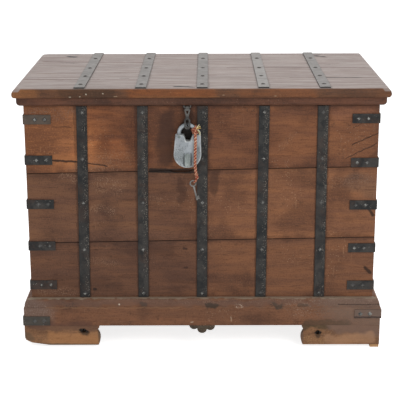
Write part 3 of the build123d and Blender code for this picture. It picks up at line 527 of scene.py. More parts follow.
def painted_shade_beside_straps(shift, strength, tint, level=-1.0):
    """Painted shade against the sides of the straps, above a level."""

    def add(here, colour, height):
        away = math("ABSOLUTE", from_strap(here, shift))
        uneven = band(noise(here, 70.0, 3.0, 0.6), 0.3, 0.7, -0.002, 0.002)
        high = band(axis_of(here, "Z"), level - 0.002, level)
        near = band(math("ADD", away, uneven), 0.0200, 0.0165, 0.0, strength)
        return blend(times(near, high), colour, tint), height

    return add


print("straps every", strap_spacing, "m")

# %% [markdown]
# ## Old wood
# The finish lays darker and lighter layers over a middle brown, each through one mask of the
# wood figure, then adds wear, edge dirt and the board's own marks. Roughness follows the
# streaks, because worn grain shines less.


# %% Old wood
def old_wood(name, tints, along, shift, edges=None, wear=0.5, gloss=0.55, extra=None):
    """Old oiled wood in a dark, a middle and a light tint.

    edges = (axis, low, high, reach) puts dirt along a board's long edges; two more numbers
    there are the rises of those edges for each metre along X.
    """
    dark, mid, light = tints
    made, shader, here = finish(name, 0.2)
    turned = here if along == "X" else stretch(here, (1.0, 1.0, 1.0), (0.0, 0.0, pi / 2))
    grain = use(figure, Vector=turned, Shift=shift)
    used = use(marks, Vector=here, Amount=wear)
    grit = noise(here, 260.0, 2.0, 0.6)
    colour = blend(band(grain["Tone"], 0.34, 0.66), mid, light)
    for value, low, high, strength, tint in (
        (grain["Patches"], 0.46, 0.68, 0.75, dark),
        (grain["Streaks"], 0.50, 0.68, 0.45, dark),
        (grain["Fibre"], 0.46, 0.30, 0.62, dark),
        (grain["Fibre"], 0.54, 0.70, 0.55, light),
        (grit, 0.52, 0.70, 0.45, light),
        (grit, 0.46, 0.30, 0.50, dark),
    ):
        colour = blend(band(value, low, high, 0.0, strength), colour, tint)
    worn_parts = [
        (grain["Pores"], 0.35, (44, 27, 20)),
        (used["Bruises"], 0.45, (56, 38, 30)),
        (used["Scratches"], 0.22, (160, 126, 100)),
        (used["Chips"], 0.60, (178, 152, 128)),
    ]
    if edges:
        axis, low, high, reach, *rises = edges
        if rises:
            x = axis_of(here, "X")
            low = math("ADD", times(x, rises[0]), low)
            high = math("ADD", times(x, rises[1]), high)
        place = axis_of(here, axis)
        dirt = use(edge_dirt, Vector=here, Place=place, Low=low, High=high, Reach=reach)
        worn_parts += [(dirt["Dirt"], 0.40, (58, 38, 30)), (dirt["Rim"], 0.60, (30, 20, 16))]
    for mask, strength, tint in worn_parts:
        colour = blend(times(mask, strength), colour, tint)
    height = math("ADD", grain["Height"], times(used["Height"], 0.6))
    if extra:
        colour, height = extra(here, colour, height)
    feed(shader.inputs["Base Color"], colour)
    feed(shader.inputs["Roughness"], band(grain["Streaks"], 0.35, 0.7, gloss - 0.08, gloss + 0.14))
    raise_by(shader, height, 0.45, 0.0012)
    return made


print("old wood is built from", figure.name, "and", marks.name, "and", edge_dirt.name)

# %% [markdown]
# ## Walls
# Each wall is three wide boards. The front's boards have their own history: cracks, pale
# rubbed patches, and stains and dark patches where the lock hangs. Among them are painted light
# and shade: the lock's shadow, shade behind the hasp and inside the shackle, and lighter right
# parts on the two lower boards. They are kept as rows of numbers, read on the front in
# millimetres from the middle and from the floor: two ends, a width, a strength.

# %% Marks on the front boards
front_marks = {
    "top": [
        (-520, 650, -410, 620, 170, 0.9, (1.85, 1.8, 1.5), "tone"),
        (-330, 590, -250, 600, 50, 0.6, (1.45, 1.35, 1.2), "tone"),
        (-350, 540, -230, 570, 45, 0.5, (150, 122, 100), "flecks"),
        (-500, 700, -340, 706, 30, 0.6, (128, 108, 96), "flecks"),
        (330, 560, 480, 640, 60, 0.5, (86, 62, 50), "flecks"),
        # painted shade behind the hasp
        (-41, 722, -40, 676, 22, 0.8, (44, 29, 23)),
        # painted shadow of the padlock, on its left
        (-100, 688, -106, 570, 34, 0.75, stain_and_shade),
        (8, 640, 12, 560, 20, 0.6, stain_and_shade),
        # painted shade inside the shackle's loop
        (-38.5, 655, -38.5, 636, 30, 0.97, soot_and_shade),
        (-461, 578, -361, 574, 14, 0.55, (166, 108, 68)),
        (-424, 566, -360, 563, 4.2, 0.9, dark_wood),
        (-360, 563, -270, 550, 2.6, 0.9, dark_wood),
        (-424, 664, -370, 664, 1.8, 0.6, dark_wood),
        (-148, 538, -19, 536, 7, 0.9, soot_and_shade),
        (427, 610, 502, 645, 2.2, 0.75, dark_wood),
        (411, 570, 498, 615, 2.2, 0.7, dark_wood),
        (470, 560, 505, 600, 14, 0.45, stain_and_shade),
        (-285, 690, -200, 600, 90, 0.9, (0.9, 0.82, 0.76), "tone"),
        (430, 660, 500, 700, 2, 0.5, dark_wood),
        (230, 602, 256, 640, 12, 0.45, pale, "flecks"),
        (390, 702, 470, 702, 30, 0.9, (1.22, 1.25, 1.33), "tone"),
    ],
    "middle": [
        # painted light: the right part of the board made lighter, as the key lamp falls from the right
        (170, 430, 520, 430, 260, 0.95, (1.48, 1.36, 1.18), "tone"),
        (-130, 450, -40, 400, 110, 0.8, (0.9, 0.86, 0.84), "tone"),
        (-148, 533.5, -19, 531, 5, 0.9, soot_and_shade),
        (-400, 520, -355, 508, 18, 0.7, pale, "flecks"),
        (36, 528, 30, 470, 17, 0.6, stain_and_shade),
        (-60, 505, -58, 448, 16, 0.5, stain_and_shade),
        (-20, 510, -10, 440, 14, 0.35, stain_and_shade),
        (-300, 498, -235, 490, 30, 0.5, pale, "flecks"),
        (-305, 425, -262, 415, 22, 0.55, pale, "flecks"),
        (-170, 455, -120, 450, 14, 0.35, pale, "flecks"),
        (380, 500, 480, 510, 30, 0.35, pale, "flecks"),
        (430, 500, 500, 480, 40, 0.9, (0.76, 0.87, 1.04), "tone"),
        (480, 424, 494, 402, 7.5, 0.8, soot_and_shade),
    ],
    "bottom": [
        # painted light: the right part of the board made lighter, as the key lamp falls from the right
        (160, 230, 520, 230, 240, 0.9, (1.42, 1.34, 1.2), "tone"),
        (-140, 260, -30, 210, 110, 0.8, (0.88, 0.87, 0.9), "tone"),
        (478, 242, 492, 226, 7.5, 0.8, soot_and_shade),
        (-310, 264, -258, 257, 20, 0.35, pale, "flecks"),
        (-470, 170, -380, 166, 20, 0.5, pale, "flecks"),
        (-52, 302, -46, 301, 6, 0.7, dark_wood),
        (-49, 243, -44, 243, 5, 0.6, dark_wood),
        (-317, 177, -313, 176, 6, 0.9, soot_and_shade),
        (-430, 200, -250, 190, 30, 0.35, stain_and_shade),
        (-210, 300, -90, 296, 24, 0.35, stain_and_shade),
    ],
}
print("front marks", {level: len(rows) for level, rows in front_marks.items()})

# %% [markdown]
# The seams between the front boards climb a little to the right, as hand-cut boards do, and
# the dirt has to follow them. Each seam is its height at the middle and its rise for each
# metre.

# %% Dress the walls
wall_tints = {
    "bottom": ((66, 44, 35), (96, 66, 51), (116, 79, 57)),
    "middle": ((72, 48, 38), (104, 72, 56), (124, 86, 62)),
    "top": ((78, 48, 35), (112, 73, 53), (138, 90, 60)),
}
low_seam = (0.327, 16.0 / 1004.0)
high_seam = (0.537, 19.0 / 1004.0)
seam_reach = 0.016
shift = 0.0
for side, along in {"front": "X", "back": "X", "left": "Y", "right": "Y"}.items():
    for level, tints in wall_tints.items():
        board = f"{side}_board_{level}"
        low, high = (corner[2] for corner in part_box(board))
        shift += 1.37
        edges = ("Z", low, high, seam_reach)
        drawn = None
        if side == "front":
            bottom = {"bottom": (low, 0.0), "middle": low_seam, "top": high_seam}[level]
            top = {"bottom": low_seam, "middle": high_seam, "top": (high, 0.0)}[level]
            edges = ("Z", bottom[0], top[0], seam_reach, bottom[1], top[1])
            drawn = layers(
                # painted shade along the sides of the straps
                painted_shade_beside_straps(0.0, 0.45, dark_wood),
                placed_marks(front_marks[level], only=("Y", front_y + 0.004, front_y + 0.002)),
            )
        dress(old_wood(f"{side}_{level}_wood", tints, along, shift, edges, extra=drawn), board)
print("last wall board's shift", shift)

# %% [markdown]
# ## Dust on the lid
# The lid's top faces the sky, so it is bleached and dusty, while its rounded nosing is rubbed
# brown by hands. Dust could be a second mesh, but it has no thickness to see. Here it is laid
# by height: only the flat top is high enough to get it.

# %% Dust
lid_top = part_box("lid_board_2")[1][2]


def above(height, level):
    """A mask for what is as high as a level."""
    return band(height, level - 0.0022, level - 0.0002)


def dust_above(level, strength, tint):
    """A layer of pale dust on everything higher than a level."""

    def add(here, colour, height):
        cloud = noise(stretch(here, (2.0, 16.0, 16.0)), 4.0, 5.0, 0.6)
        thick = band(cloud, 0.25, 0.72, strength * 0.7, strength)
        return blend(times(above(axis_of(here, "Z"), level), thick), colour, tint), height

    return add


def streaked_dust(level, strength, pale_tint, dark_tint):
    """Pale dust on the top, thin along the raised grain and broken into long streaks."""

    def add(here, colour, height):
        # the rounded ends count as a little higher, because dust lies on them too
        end = band(math("ABSOLUTE", axis_of(here, "X")), 0.504, 0.512, 0.0, 0.007)
        up = above(math("ADD", axis_of(here, "Z"), end), level)
        broad = noise(stretch(here, (3.0, 34.0, 1.0)), 1.6, 4.0, 0.65, 0.4)
        thin = noise(stretch(here, (9.0, 150.0, 1.0)), 1.6, 3.0, 0.7, 0.3)
        dust = blend(band(broad, 0.36, 0.66), dark_tint, pale_tint)
        dust = blend(band(thin, 0.50, 0.36, 0.0, 0.4), dust, (122, 106, 100))
        return blend(times(up, strength), colour, dust), height

    return add


print("lid top at", lid_top)

# %% [markdown]
# ## Lid boards
# The lid's four boards carry dark seams, splits and soot spots of their own. Their rows say
# how far back a place is from the front boards. The nosing has a table of its own, kept to
# the front by its limit along Y.

# %% Marks on the lid
lid_marks = {
    1: [
        (-510, 131, -300, 129, 6, 0.8, seam_red),
        (-300, 129, -190, 126, 5, 0.5, seam_red),
        (350, 151, 465, 147, 7, 0.9, dark_wood),
        (260, 153, 350, 151, 5, 0.7, seam_red),
        (465, 147, 512, 148, 5, 0.7, seam_red),
        (-72, 10, -40, 8, 12, 1.0, soot_and_shade, "torn"),
        (-40, 6, -20, 0, 9, 0.9, soot_and_shade, "torn"),
        (-215, 144, -236, 146, 6, 0.5, dark_wood),
        (-120, 60, -40, 62, 3, 0.5, seam_red),
        (80, 70, 260, 66, 3, 0.35, seam_red),
    ],
    2: [
        (80, 327, 500, 326, 6.5, 0.7, seam_red),
        (-260, 240, -200, 242, 6, 0.6, seam_red),
        (-490, 230, -380, 232, 6, 0.4, (120, 96, 84)),
        (390, 250, 500, 252, 5, 0.4, (120, 96, 84)),
    ],
    3: [
        (-500, 453, -189, 436, 7, 0.8, seam_red),
        (-435, 428, -395, 412, 11, 0.8, dark_wood, "flecks", "torn"),
        (-428, 428, -400, 420, 6, 0.6, dark_wood),
        (372, 386, 412, 380, 11, 0.8, dark_wood, "flecks", "torn"),
        (-240, 400, -215, 398, 6, 0.4, seam_red),
    ],
    4: [
        (-442, 620, -414, 600, 12, 0.9, soot_and_shade, "torn"),
        (-430, 560, -408, 540, 15, 0.95, soot_and_shade, "torn"),
        (355, 610, 384, 594, 12, 0.9, soot_and_shade, "torn"),
        (374, 556, 396, 538, 14, 0.9, soot_and_shade, "torn"),
        (385, 470, 404, 466, 9, 0.8, dark_wood, "torn"),
        (200, 584, 500, 580, 6, 0.6, seam_red),
    ],
}
nose_marks = [
    (-560, 764, -500, 766, 60, 0.9, (1.9, 1.75, 1.3), "tone"),
    (-190, 764, 20, 766, 30, 0.9, (1.55, 1.2, 0.85), "tone"),
    (120, 766, 300, 764, 30, 0.7, (1.5, 1.25, 1.0), "tone"),
    (-380, 766, -260, 762, 30, 0.8, (0.62, 0.66, 0.66), "tone"),
    (-440, 757, -340, 756, 12, 0.6, (66, 44, 34), "flecks"),
    (-190, 754.5, 50, 754.5, 2.2, 0.5, (150, 104, 66)),
    (-322, 763.5, -321.5, 763.5, 2.4, 0.8, (212, 202, 180)),
    (-340, 756.5, -339, 756.5, 2.2, 0.7, (204, 192, 170)),
    (-276, 766, -274, 766, 2.2, 0.7, (204, 192, 170)),
    (-368, 753.5, -365, 753.5, 2.6, 0.7, (190, 176, 156)),
    (-244, 756, -236, 756, 2.2, 0.6, (176, 150, 122)),
    (60, 760, 64, 760, 2.2, 0.6, (176, 150, 122)),
    (205, 757, 209, 757, 2.2, 0.6, (176, 150, 122)),
]
print("lid marks", {board: len(rows) for board, rows in lid_marks.items()}, "nosing", len(nose_marks))

# %% [markdown]
# The nosing's front edge gets no edge dirt, because hands keep it clean: its low edge is put
# far away. Dust, marks and the painted shade beside the straps follow, in that order.

# %% Dress the lid
far_away = 1.0
for i in range(1, 5):
    board = f"lid_board_{i}"
    low, high = (corner[1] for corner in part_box(board))
    steps = [
        streaked_dust(lid_top, 0.85, (173, 161, 156), (144, 130, 125)),
        placed_marks(lid_marks[i], on_top, ("Z", lid_top - 0.004, lid_top - 0.002)),
        # painted shade on the lid beside its straps
        painted_shade_beside_straps(0.004, 0.5, (84, 76, 72), lid_top - 0.0002),
    ]
    if i == 1:
        steps.insert(0, placed_marks(nose_marks, only=("Y", front_y - 0.008, front_y - 0.012)))
        low -= far_away
    tints = ((68, 48, 38), (96, 67, 50), (118, 78, 52))
    edges = ("Y", low, high, 0.010)
    dress(old_wood(f"lid_wood_{i}", tints, "X", 11.3 + 2.9 * i, edges, 0.45, 0.5, layers(*steps)), board)
rail_tints = ((62, 42, 34), (90, 62, 49), (108, 70, 52))
dress(old_wood("lid_rail_wood", rail_tints, "X", 31.0), "lid_rail_front", "lid_rail_back")
side_rail_wood = old_wood("lid_side_rail_wood", rail_tints, "Y", 33.0)
dress(side_rail_wood, "lid_rail_left", "lid_rail_right", "lid_battens")
print("lid dressed in", [m.name for m in bpy.data.materials if m.name.startswith("lid")])

# %% [markdown]
# ## Plinth, feet and blocks
# Low down, the wood is greyer and more worn: mops and shoes reach it, and its paint has gone.
# The feet are the palest, and new packing blocks stand under them. All use the same wood
# finish with other tints and their own marks.

# %% Marks on the plinth and the feet
plinth_marks = [
    (430, 150, 540, 80, 120, 0.6, grey_wood),
    (-540, 150, -490, 100, 70, 0.7, (110, 92, 84)),
    (-524, 139, 524, 139, 14, 0.45, (98, 78, 70)),
    (-524, 152, 524, 152, 2.6, 0.75, (150, 136, 118)),
    (-460, 126.2, -60, 126.2, 2, 0.5, (156, 122, 94)),
    (-60, 126.2, 330, 126.2, 2, 0.35, (150, 116, 92)),
    (-420, 133.8, -378, 133.6, 12, 0.9, (52, 46, 40), "flecks"),
    (-176, 131.6, -164, 131.6, 10, 0.7, (70, 60, 54)),
    (12, 134.5, 42, 133.5, 9, 0.75, (48, 44, 38)),
    (206, 135, 238, 132.5, 15, 0.95, (50, 50, 44), "flecks"),
    (210, 134, 234, 132.5, 10, 0.6, (56, 54, 48)),
    (290, 140, 520, 120, 60, 0.6, (152, 134, 120), "flecks"),
    (360, 130, 520, 90, 70, 0.5, (72, 58, 52), "flecks"),
    (400, 133.5, 524, 133.5, 2.4, 0.7, dark_wood),
    (-524, 130, -460, 110, 40, 0.6, (150, 132, 120), "flecks"),
    (-300, 146, 520, 144, 12, 0.5, (140, 112, 96), "flecks"),
    (-524, 100, 524, 100, 60, 0.35, (1.25, 1.15, 1.05), "tone"),
    (284, 132, 308, 132, 7, 0.6, (70, 60, 50)),
    (102, 130, 116, 129.5, 9, 0.9, (200, 180, 160), "flecks"),
    (-243, 135, -242, 135, 2.8, 0.9, (214, 200, 180)),
    (86, 96, 87, 84, 3, 0.6, (178, 150, 124)),
    (-32, 80, -26, 81, 3, 0.7, (190, 170, 148)),
    (320, 74, 420, 72, 18, 0.6, (78, 66, 52)),
    (-450, 74, -330, 73, 12, 0.5, (84, 58, 50)),
]
foot_marks = [
    (-500, 68, -310, 66, 18, 0.7, (98, 72, 60)),
    (-440, 32, -320, 24, 24, 0.5, (186, 132, 86)),
    (-352, 49, -346, 49, 14, 0.85, (66, 52, 40)),
    # painted shade inside the left foot's hole
    (-357, 53, -343, 53, 9.5, 0.95, soot_and_shade, "torn"),
    (-522, 45, -505, 22, 16, 0.6, (92, 78, 62)),
    (-500, 11, -310, 9, 5, 0.6, (92, 84, 72)),
    (-304, 50, -302, 20, 6, 0.6, (74, 66, 56)),
    (300, 68, 370, 62, 15, 0.8, (76, 64, 48)),
    (380, 68, 524, 52, 26, 0.75, (122, 98, 86)),
    (380, 24, 500, 32, 22, 0.5, (184, 142, 110)),
    (310, 26, 360, 18, 16, 0.6, (184, 150, 104), "flecks"),
    (341, 42, 343, 42, 12, 0.8, (70, 54, 40)),
    # painted shade inside the right foot's hole
    (341, 46, 343, 46, 10, 0.95, soot_and_shade, "torn"),
    (296, 45, 294, 15, 7, 0.6, (96, 80, 72)),
]
print("plinth marks", len(plinth_marks), "foot marks", len(foot_marks))

# %% [markdown]
# The drop under the middle is nearly black, with dirt and with painted shade for its shaded
# underside, and the packing blocks are fresh wood with hardly any wear, so their wear values
# lie at the two ends of the range.

# %% Dress the plinth, feet and blocks
plinth_tints = ((78, 53, 41), (110, 77, 58), (128, 88, 64))
plinth_edges = ("Z", 0.068, 0.300, 0.008)
foot_tints = ((98, 70, 52), (138, 100, 72), (166, 122, 86))
foot_edges = ("Z", 0.005, 0.0705, 0.006)
# near black: dirt, and painted shade for the drop's shaded underside
drop_tints = ((36, 32, 27), (66, 55, 46), (96, 84, 70))
new_tints = ((160, 116, 78), (186, 144, 104), (200, 158, 114))
floor_tints = ((70, 52, 42), (102, 78, 62), (118, 90, 70))
long_rails = ["plinth_front", "plinth_back"]
side_rails = ["plinth_left", "plinth_right"]
feet = [f"foot_{place}_{side}" for place in ("front", "back") for side in ("left", "right")]
for name, pieces, tints, along, shift, edges, wear, gloss, drawn in (
    ("plinth_wood", long_rails, plinth_tints, "X", 41.0, plinth_edges, 0.62, 0.55, plinth_marks),
    ("plinth_side_wood", side_rails, plinth_tints, "Y", 43.0, plinth_edges, 0.6, 0.55, None),
    ("foot_wood", feet, foot_tints, "X", 47.0, foot_edges, 0.7, 0.65, foot_marks),
    ("drop_wood", ["apron_drop"], drop_tints, "X", 53.0, None, 1.2, 0.6, None),
    ("new_wood", ["packing_blocks"], new_tints, "Y", 59.0, None, 0.1, 0.6, None),
    ("floor_wood", ["floor_boards"], floor_tints, "X", 61.0, None, 0.5, 0.55, None),
):
    extra = placed_marks(drawn) if drawn else None
    dress(old_wood(name, tints, along, shift, edges, wear, gloss, extra), *pieces)
    print(name, "on", pieces)

# %% [markdown]
# ## Forged iron
# The straps are hand-forged iron: nearly black, with brown rust in patches, tiny bright
# specks where the scale has come off, and a hammered surface. A smooth Voronoi pattern gives
# the shallow dents of a hammer, which plain noise would not.

# %% Forged iron pattern
forged, given, end = group(
    "forged iron",
    {"Vector": None, "Rust": 0.5},
    ("Mottle", "Rust", "Bright", "Height"),
)
place = given["Vector"]
mottle = noise(place, 34.0, 5.0, 0.65, 0.4)
patches = band(noise(place, 15.0, 5.0, 0.7), 0.48, 0.68)
scale_off = band(specks(place, 210.0), 0.24, 0.10)
clusters = band(noise(place, 50.0, 2.0, 0.6), 0.55, 0.66)
dents = specks(place, 62.0, "SMOOTH_F1")
give(
    end,
    Mottle=mottle,
    Rust=times(patches, given["Rust"]),
    Bright=times(scale_off, clusters),
    Height=math("ADD", times(dents, 0.7), times(mottle, 0.8)),
)

# %% [markdown]
# One iron finish serves straps, nails, hasp, padlock and key. They differ in tints, in how
# much rust and how many bright specks they show, and in how metallic and rough they are.


# %% Iron finish
def iron(name, tints, rust, bare, metal, rough, extra=None):
    """Forged iron in a dark, a light and a rust tint; bare is how much shows through."""
    dark, light, rust_tint = tints
    made, shader, here = finish(name, 0.3)
    skin = use(forged, Vector=here, Rust=rust)
    colour = blend(band(skin["Mottle"], 0.32, 0.68), dark, light)
    colour = blend(skin["Rust"], colour, rust_tint)
    colour = blend(times(skin["Bright"], bare), colour, (150, 146, 138))
    height = skin["Height"]
    if extra:
        colour, height = extra(here, colour, height)
    feed(shader.inputs["Base Color"], colour)
    feed(shader.inputs["Roughness"], band(skin["Mottle"], 0.3, 0.7, rough + 0.12, rough - 0.10))
    shader.inputs["Metallic"].default_value = metal
    raise_by(shader, height, 0.55, 0.0008)
    return made


print("iron is built from", forged.name)

# %% [markdown]
# ## Straps and nails
# Hands and cloths rub the straps along one side, and the nails at their tips. Where the lid's
# straps turn down over the edge, painted shade darkens them. Each of these is a small step that
# goes into the iron finish, measured from the strap, the nail's tip or the front edge.


# %% Wear on straps and nails
def worn_side(here, colour, height):
    """Bare specks that lie thickest along the right side of each upright strap."""
    across = from_strap(here)
    dots = band(specks(here, 260.0), 0.38, 0.14)
    patch = band(noise(here, 24.0, 3.0, 0.6), 0.40, 0.56)
    bare = times(times(band(across, -0.002, 0.013), dots), patch)
    colour = blend(bare, colour, (146, 138, 126))
    edge = band(math("ABSOLUTE", across), 0.0120, 0.0150, 0.0, 0.5)
    return blend(edge, colour, (28, 24, 22)), height


def bright_tip(here, colour, height):
    """Nail heads on the front: dark below, rubbed bright at the tip."""
    tip = band(axis_of(here, "Y"), nail_front + 0.0014, nail_front + 0.0003)
    some = band(noise(here, 9.0, 2.0, 0.6), 0.38, 0.62, 0.12, 0.75)
    worn = band(noise(here, 260.0, 2.0, 0.6), 0.38, 0.58)
    return blend(times(tip, times(some, worn)), colour, (178, 178, 172)), height


def painted_shade_ends(here, colour, height):
    """Painted shade: the lid straps are darkened where they turn down at the front edge."""
    end = band(axis_of(here, "Y"), front_y - 0.0110, front_y - 0.0150, 0.0, 0.85)
    return blend(end, colour, (34, 32, 31)), height


nail_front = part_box("front_strap_nails")[0][1]
print("nail tips at", nail_front)

# %% [markdown]
# Two of the upright straps are darker than the rest, and the corner straps low on the right
# are greyer, with the wood's dirt over them. These are rows of marks again. On the lid, one
# strap is lighter.

# %% Marks on the straps
strap_tones = [
    (-344, 720, -344, 160, 50, 0.9, (0.72, 0.74, 0.76), "tone"),
    (172, 720, 172, 160, 50, 0.9, (0.78, 0.84, 0.88), "tone"),
]
left_marks = [
    (-530, 683, -420, 683, 26, 0.55, (104, 90, 78)),
    (-530, 93, -420, 93, 26, 0.35, (96, 90, 80)),
]
right_marks = [
    (420, 109, 530, 109, 34, 0.9, (114, 94, 83)),
    (420, 122.5, 530, 122.5, 3, 0.7, dark_wood),
    (420, 96, 530, 96, 3.4, 0.8, dark_wood),
    (426.2, 96, 426.2, 122.5, 3, 0.7, dark_wood),
]
near_end, far_end = (1000.0 * (y - front_y) for y in (-0.4, 0.4))
light_strap = [(172, near_end, 172, far_end, 60, 0.9, (1.26, 1.26, 1.26), "tone")]
print("strap marks", len(strap_tones + left_marks + right_marks + light_strap))

# %% [markdown]
# The lid's straps lie flat to the sky, so they get dust first; then comes the lighter strap,
# and last the painted shade at the front ends, laid over the dust.

# %% Dress the straps and nails
dark_iron = ((30, 31, 32), (56, 53, 50), (66, 50, 42))
lid_iron = ((52, 50, 48), (80, 77, 74), (80, 66, 58))
nail_tints = ((38, 38, 38), (70, 68, 66), (70, 54, 44))
lid_nail_tints = ((52, 48, 46), (84, 80, 76), (70, 54, 44))
lid_layers = layers(
    dust_above(lid_top + 0.003, 0.85, (146, 142, 139)),
    placed_marks(light_strap, on_top, ("Z", 0.0, 0.1)),
    # painted shade where the straps turn down at the front edge
    painted_shade_ends,
)
strap_layers = layers(placed_marks(strap_tones), worn_side)
straps = [f"front_strap_{i}" for i in range(1, 6)] + ["back_straps"]
back_corners = ["corner_straps_back_left", "corner_straps_back_right", "hinge_pins"]
nails = ["front_strap_nails", "back_strap_nails", "corner_strap_nails"]
left_corner, right_corner = ["corner_straps_front_left"], ["corner_straps_front_right"]
for name, pieces, tints, rust, bare, metal, rough, extra in (
    ("strap_iron", straps, dark_iron, 0.6, 0.9, 0.1, 0.62, strap_layers),
    ("corner_iron", back_corners, dark_iron, 0.7, 1.2, 0.1, 0.62, None),
    ("left_corner_iron", left_corner, dark_iron, 0.7, 1.3, 0.1, 0.62, placed_marks(left_marks)),
    ("right_corner_iron", right_corner, dark_iron, 0.7, 1.2, 0.1, 0.62, placed_marks(right_marks)),
    ("lid_strap_iron", ["lid_straps"], lid_iron, 0.5, 0.6, 0.1, 0.62, lid_layers),
    ("nail_iron", nails, nail_tints, 0.3, 1.0, 0.2, 0.5, bright_tip),
    ("lid_nail_iron", ["lid_strap_nails"], lid_nail_tints, 0.4, 0.4, 0.1, 0.6, None),
):
    dress(iron(name, tints, rust, bare, metal, rough, extra), *pieces)
    print(name, "on", pieces)

# %% [markdown]
# ## Padlock, hasp and key
# The padlock is pale, worn steel with dark rust pits low on its left side and a painted
# highlight along its rim. The highlight follows the outline of the body, so it is a chain of
# narrow pale marks between the outline's corners.

# %% Marks on the padlock
lock_outline = [
    (-51, 646), (-74, 646), (-79, 592), (-76, 575), (-67.6, 562.4), (-55, 554),
    (-40, 551), (-25, 554), (-12.4, 562.4), (-4, 575), (-1, 592), (-2.5, 646),
    (-25, 646), (-32, 628), (-44, 628), (-51, 646),
]
# a painted highlight along the padlock's rim
rim_highlight = [(*a, *b, 2.6, 0.75, (196, 200, 200)) for a, b in zip(lock_outline, lock_outline[1:])]
lock_marks = [
    (-68, 630, -40, 606, 26, 0.5, (166, 172, 178)),
    (-72, 590, -50, 566, 18, 0.6, (118, 124, 124)),
    (-14, 620, -10, 580, 14, 0.5, (120, 126, 128)),
    # painted shade inside the recess, at both its sides
    (-50.5, 592, -50.5, 560, 3, 0.55, (78, 84, 84)),
    (-29.5, 592, -29.5, 560, 3.2, 0.7, (66, 70, 70)),
]


def pitted(here, colour, height):
    """Dark rust pits, thickest low on the left, and small bright flakes."""
    left = band(axis_of(here, "X"), -0.020, -0.080, 0.0, 0.10)
    low = band(axis_of(here, "Z"), 0.640, 0.560, 0.0, 0.10)
    where = math("ADD", noise(here, 60.0, 3.0, 0.6), math("ADD", left, low))
    pits = times(band(specks(here, 260.0), 0.40, 0.16), band(where, 0.56, 0.68))
    flakes = band(noise(here, 420.0, 2.0, 0.5), 0.60, 0.72)
    colour = blend(times(pits, 0.8), colour, (62, 66, 66))
    colour = blend(times(flakes, 0.5), colour, (198, 202, 202))
    return colour, math("SUBTRACT", height, pits)


print("rim in", len(rim_highlight), "pieces")

# %% [markdown]
# The hasp is darker than the lock, because it is forged and not cast. The key and the keyhole
# cover lie between the two.

# %% Dress the padlock, hasp and key
pale_steel = ((134, 141, 146), (174, 180, 184), (100, 98, 92))
hasp_tints = ((50, 50, 50), (104, 102, 98), (80, 60, 46))
key_tints = ((92, 92, 90), (138, 136, 132), (90, 72, 60))
cover_tints = ((118, 126, 124), (158, 166, 164), (90, 84, 74))
lock_layers = layers(placed_marks(lock_marks), pitted, placed_marks(rim_highlight))
for name, pieces, tints, rust, bare, metal, rough, extra in (
    ("lock_iron", ["padlock_body"], pale_steel, 0.5, 0.6, 0.25, 0.5, lock_layers),
    ("shackle_iron", ["shackle"], pale_steel, 0.5, 0.6, 0.3, 0.45, None),
    ("hasp_iron", ["hasp", "hasp_staple", "lock_staple"], hasp_tints, 0.5, 0.6, 0.3, 0.5, None),
    ("key_iron", ["key"], key_tints, 0.3, 0.6, 0.3, 0.5, None),
    ("cover_iron", ["keyhole_cover", "padlock_rivets"], cover_tints, 0.5, 0.5, 0.3, 0.5, None),
):
    dress(iron(name, tints, rust, bare, metal, rough, extra), *pieces)
    print(name, "on", pieces)

# %% [markdown]
# ## The key's cord
# The cord is a short plaited length of red yarn. Its line is one smooth NURBS spline through
# the places where it hangs. Blender reads the spline out as a mesh of points, and those are
# what everything on the cord follows.

# %% Cord line
route = [
    (-0.01905, -0.32620, 0.66075),
    (-0.01700, -0.33710, 0.64200),
    (-0.01780, -0.33660, 0.61000),
    (-0.01880, -0.33710, 0.57500),
    (-0.01820, -0.33660, 0.54500),
    (-0.01274, -0.33660, 0.52213),
]


def smooth_line(name, points):
    """Points read along a NURBS spline whose control points are the given ones."""
    data = bpy.data.curves.new(name, "CURVE")
    data.dimensions = "3D"
    data.resolution_u = 40
    spline = data.splines.new("NURBS")
    spline.points.add(len(points) - 1)
    for control, place in zip(spline.points, points):
        control.co = (*place, 1.0)
    spline.order_u = 3
    spline.use_endpoint_u = True
    holder = bpy.data.objects.new(name, data)
    bpy.context.collection.objects.link(holder)
    bpy.context.view_layer.update()
    line = bpy.data.meshes.new_from_object(holder.evaluated_get(bpy.context.evaluated_depsgraph_get()))
    places = [v.co.copy() for v in line.vertices]
    bpy.data.objects.remove(holder)
    bpy.data.curves.remove(data)
    bpy.data.meshes.remove(line)
    return places


cord_line = smooth_line("cord_line", route)
cord_length = sum((b - a).length for a, b in zip(cord_line, cord_line[1:]))
print("cord line", len(cord_line), "points,", round(cord_length, 4), "m")

# %% [markdown]
# A plain bevelled curve would be a smooth tube. Here rings of points are set along the line
# and joined by faces, so that the wall of the tube may rise and fall. Each point also keeps a
# number, as an attribute, that says which strand of the plait it lies on.


# %% Swept tube with a wall that may vary
def even_steps(places, step):
    """The same line with points a fixed step apart."""
    made = [places[0]]
    left = step
    for a, b in zip(places, places[1:]):
        gap = (b - a).length
        while gap >= left > 0.0:
            a = a + (b - a) * (left / gap)
            made.append(a)
            gap = (b - a).length
            left = step
        left -= gap
    if (made[-1] - places[-1]).length > step * 0.3:
        made.append(places[-1])
    return made


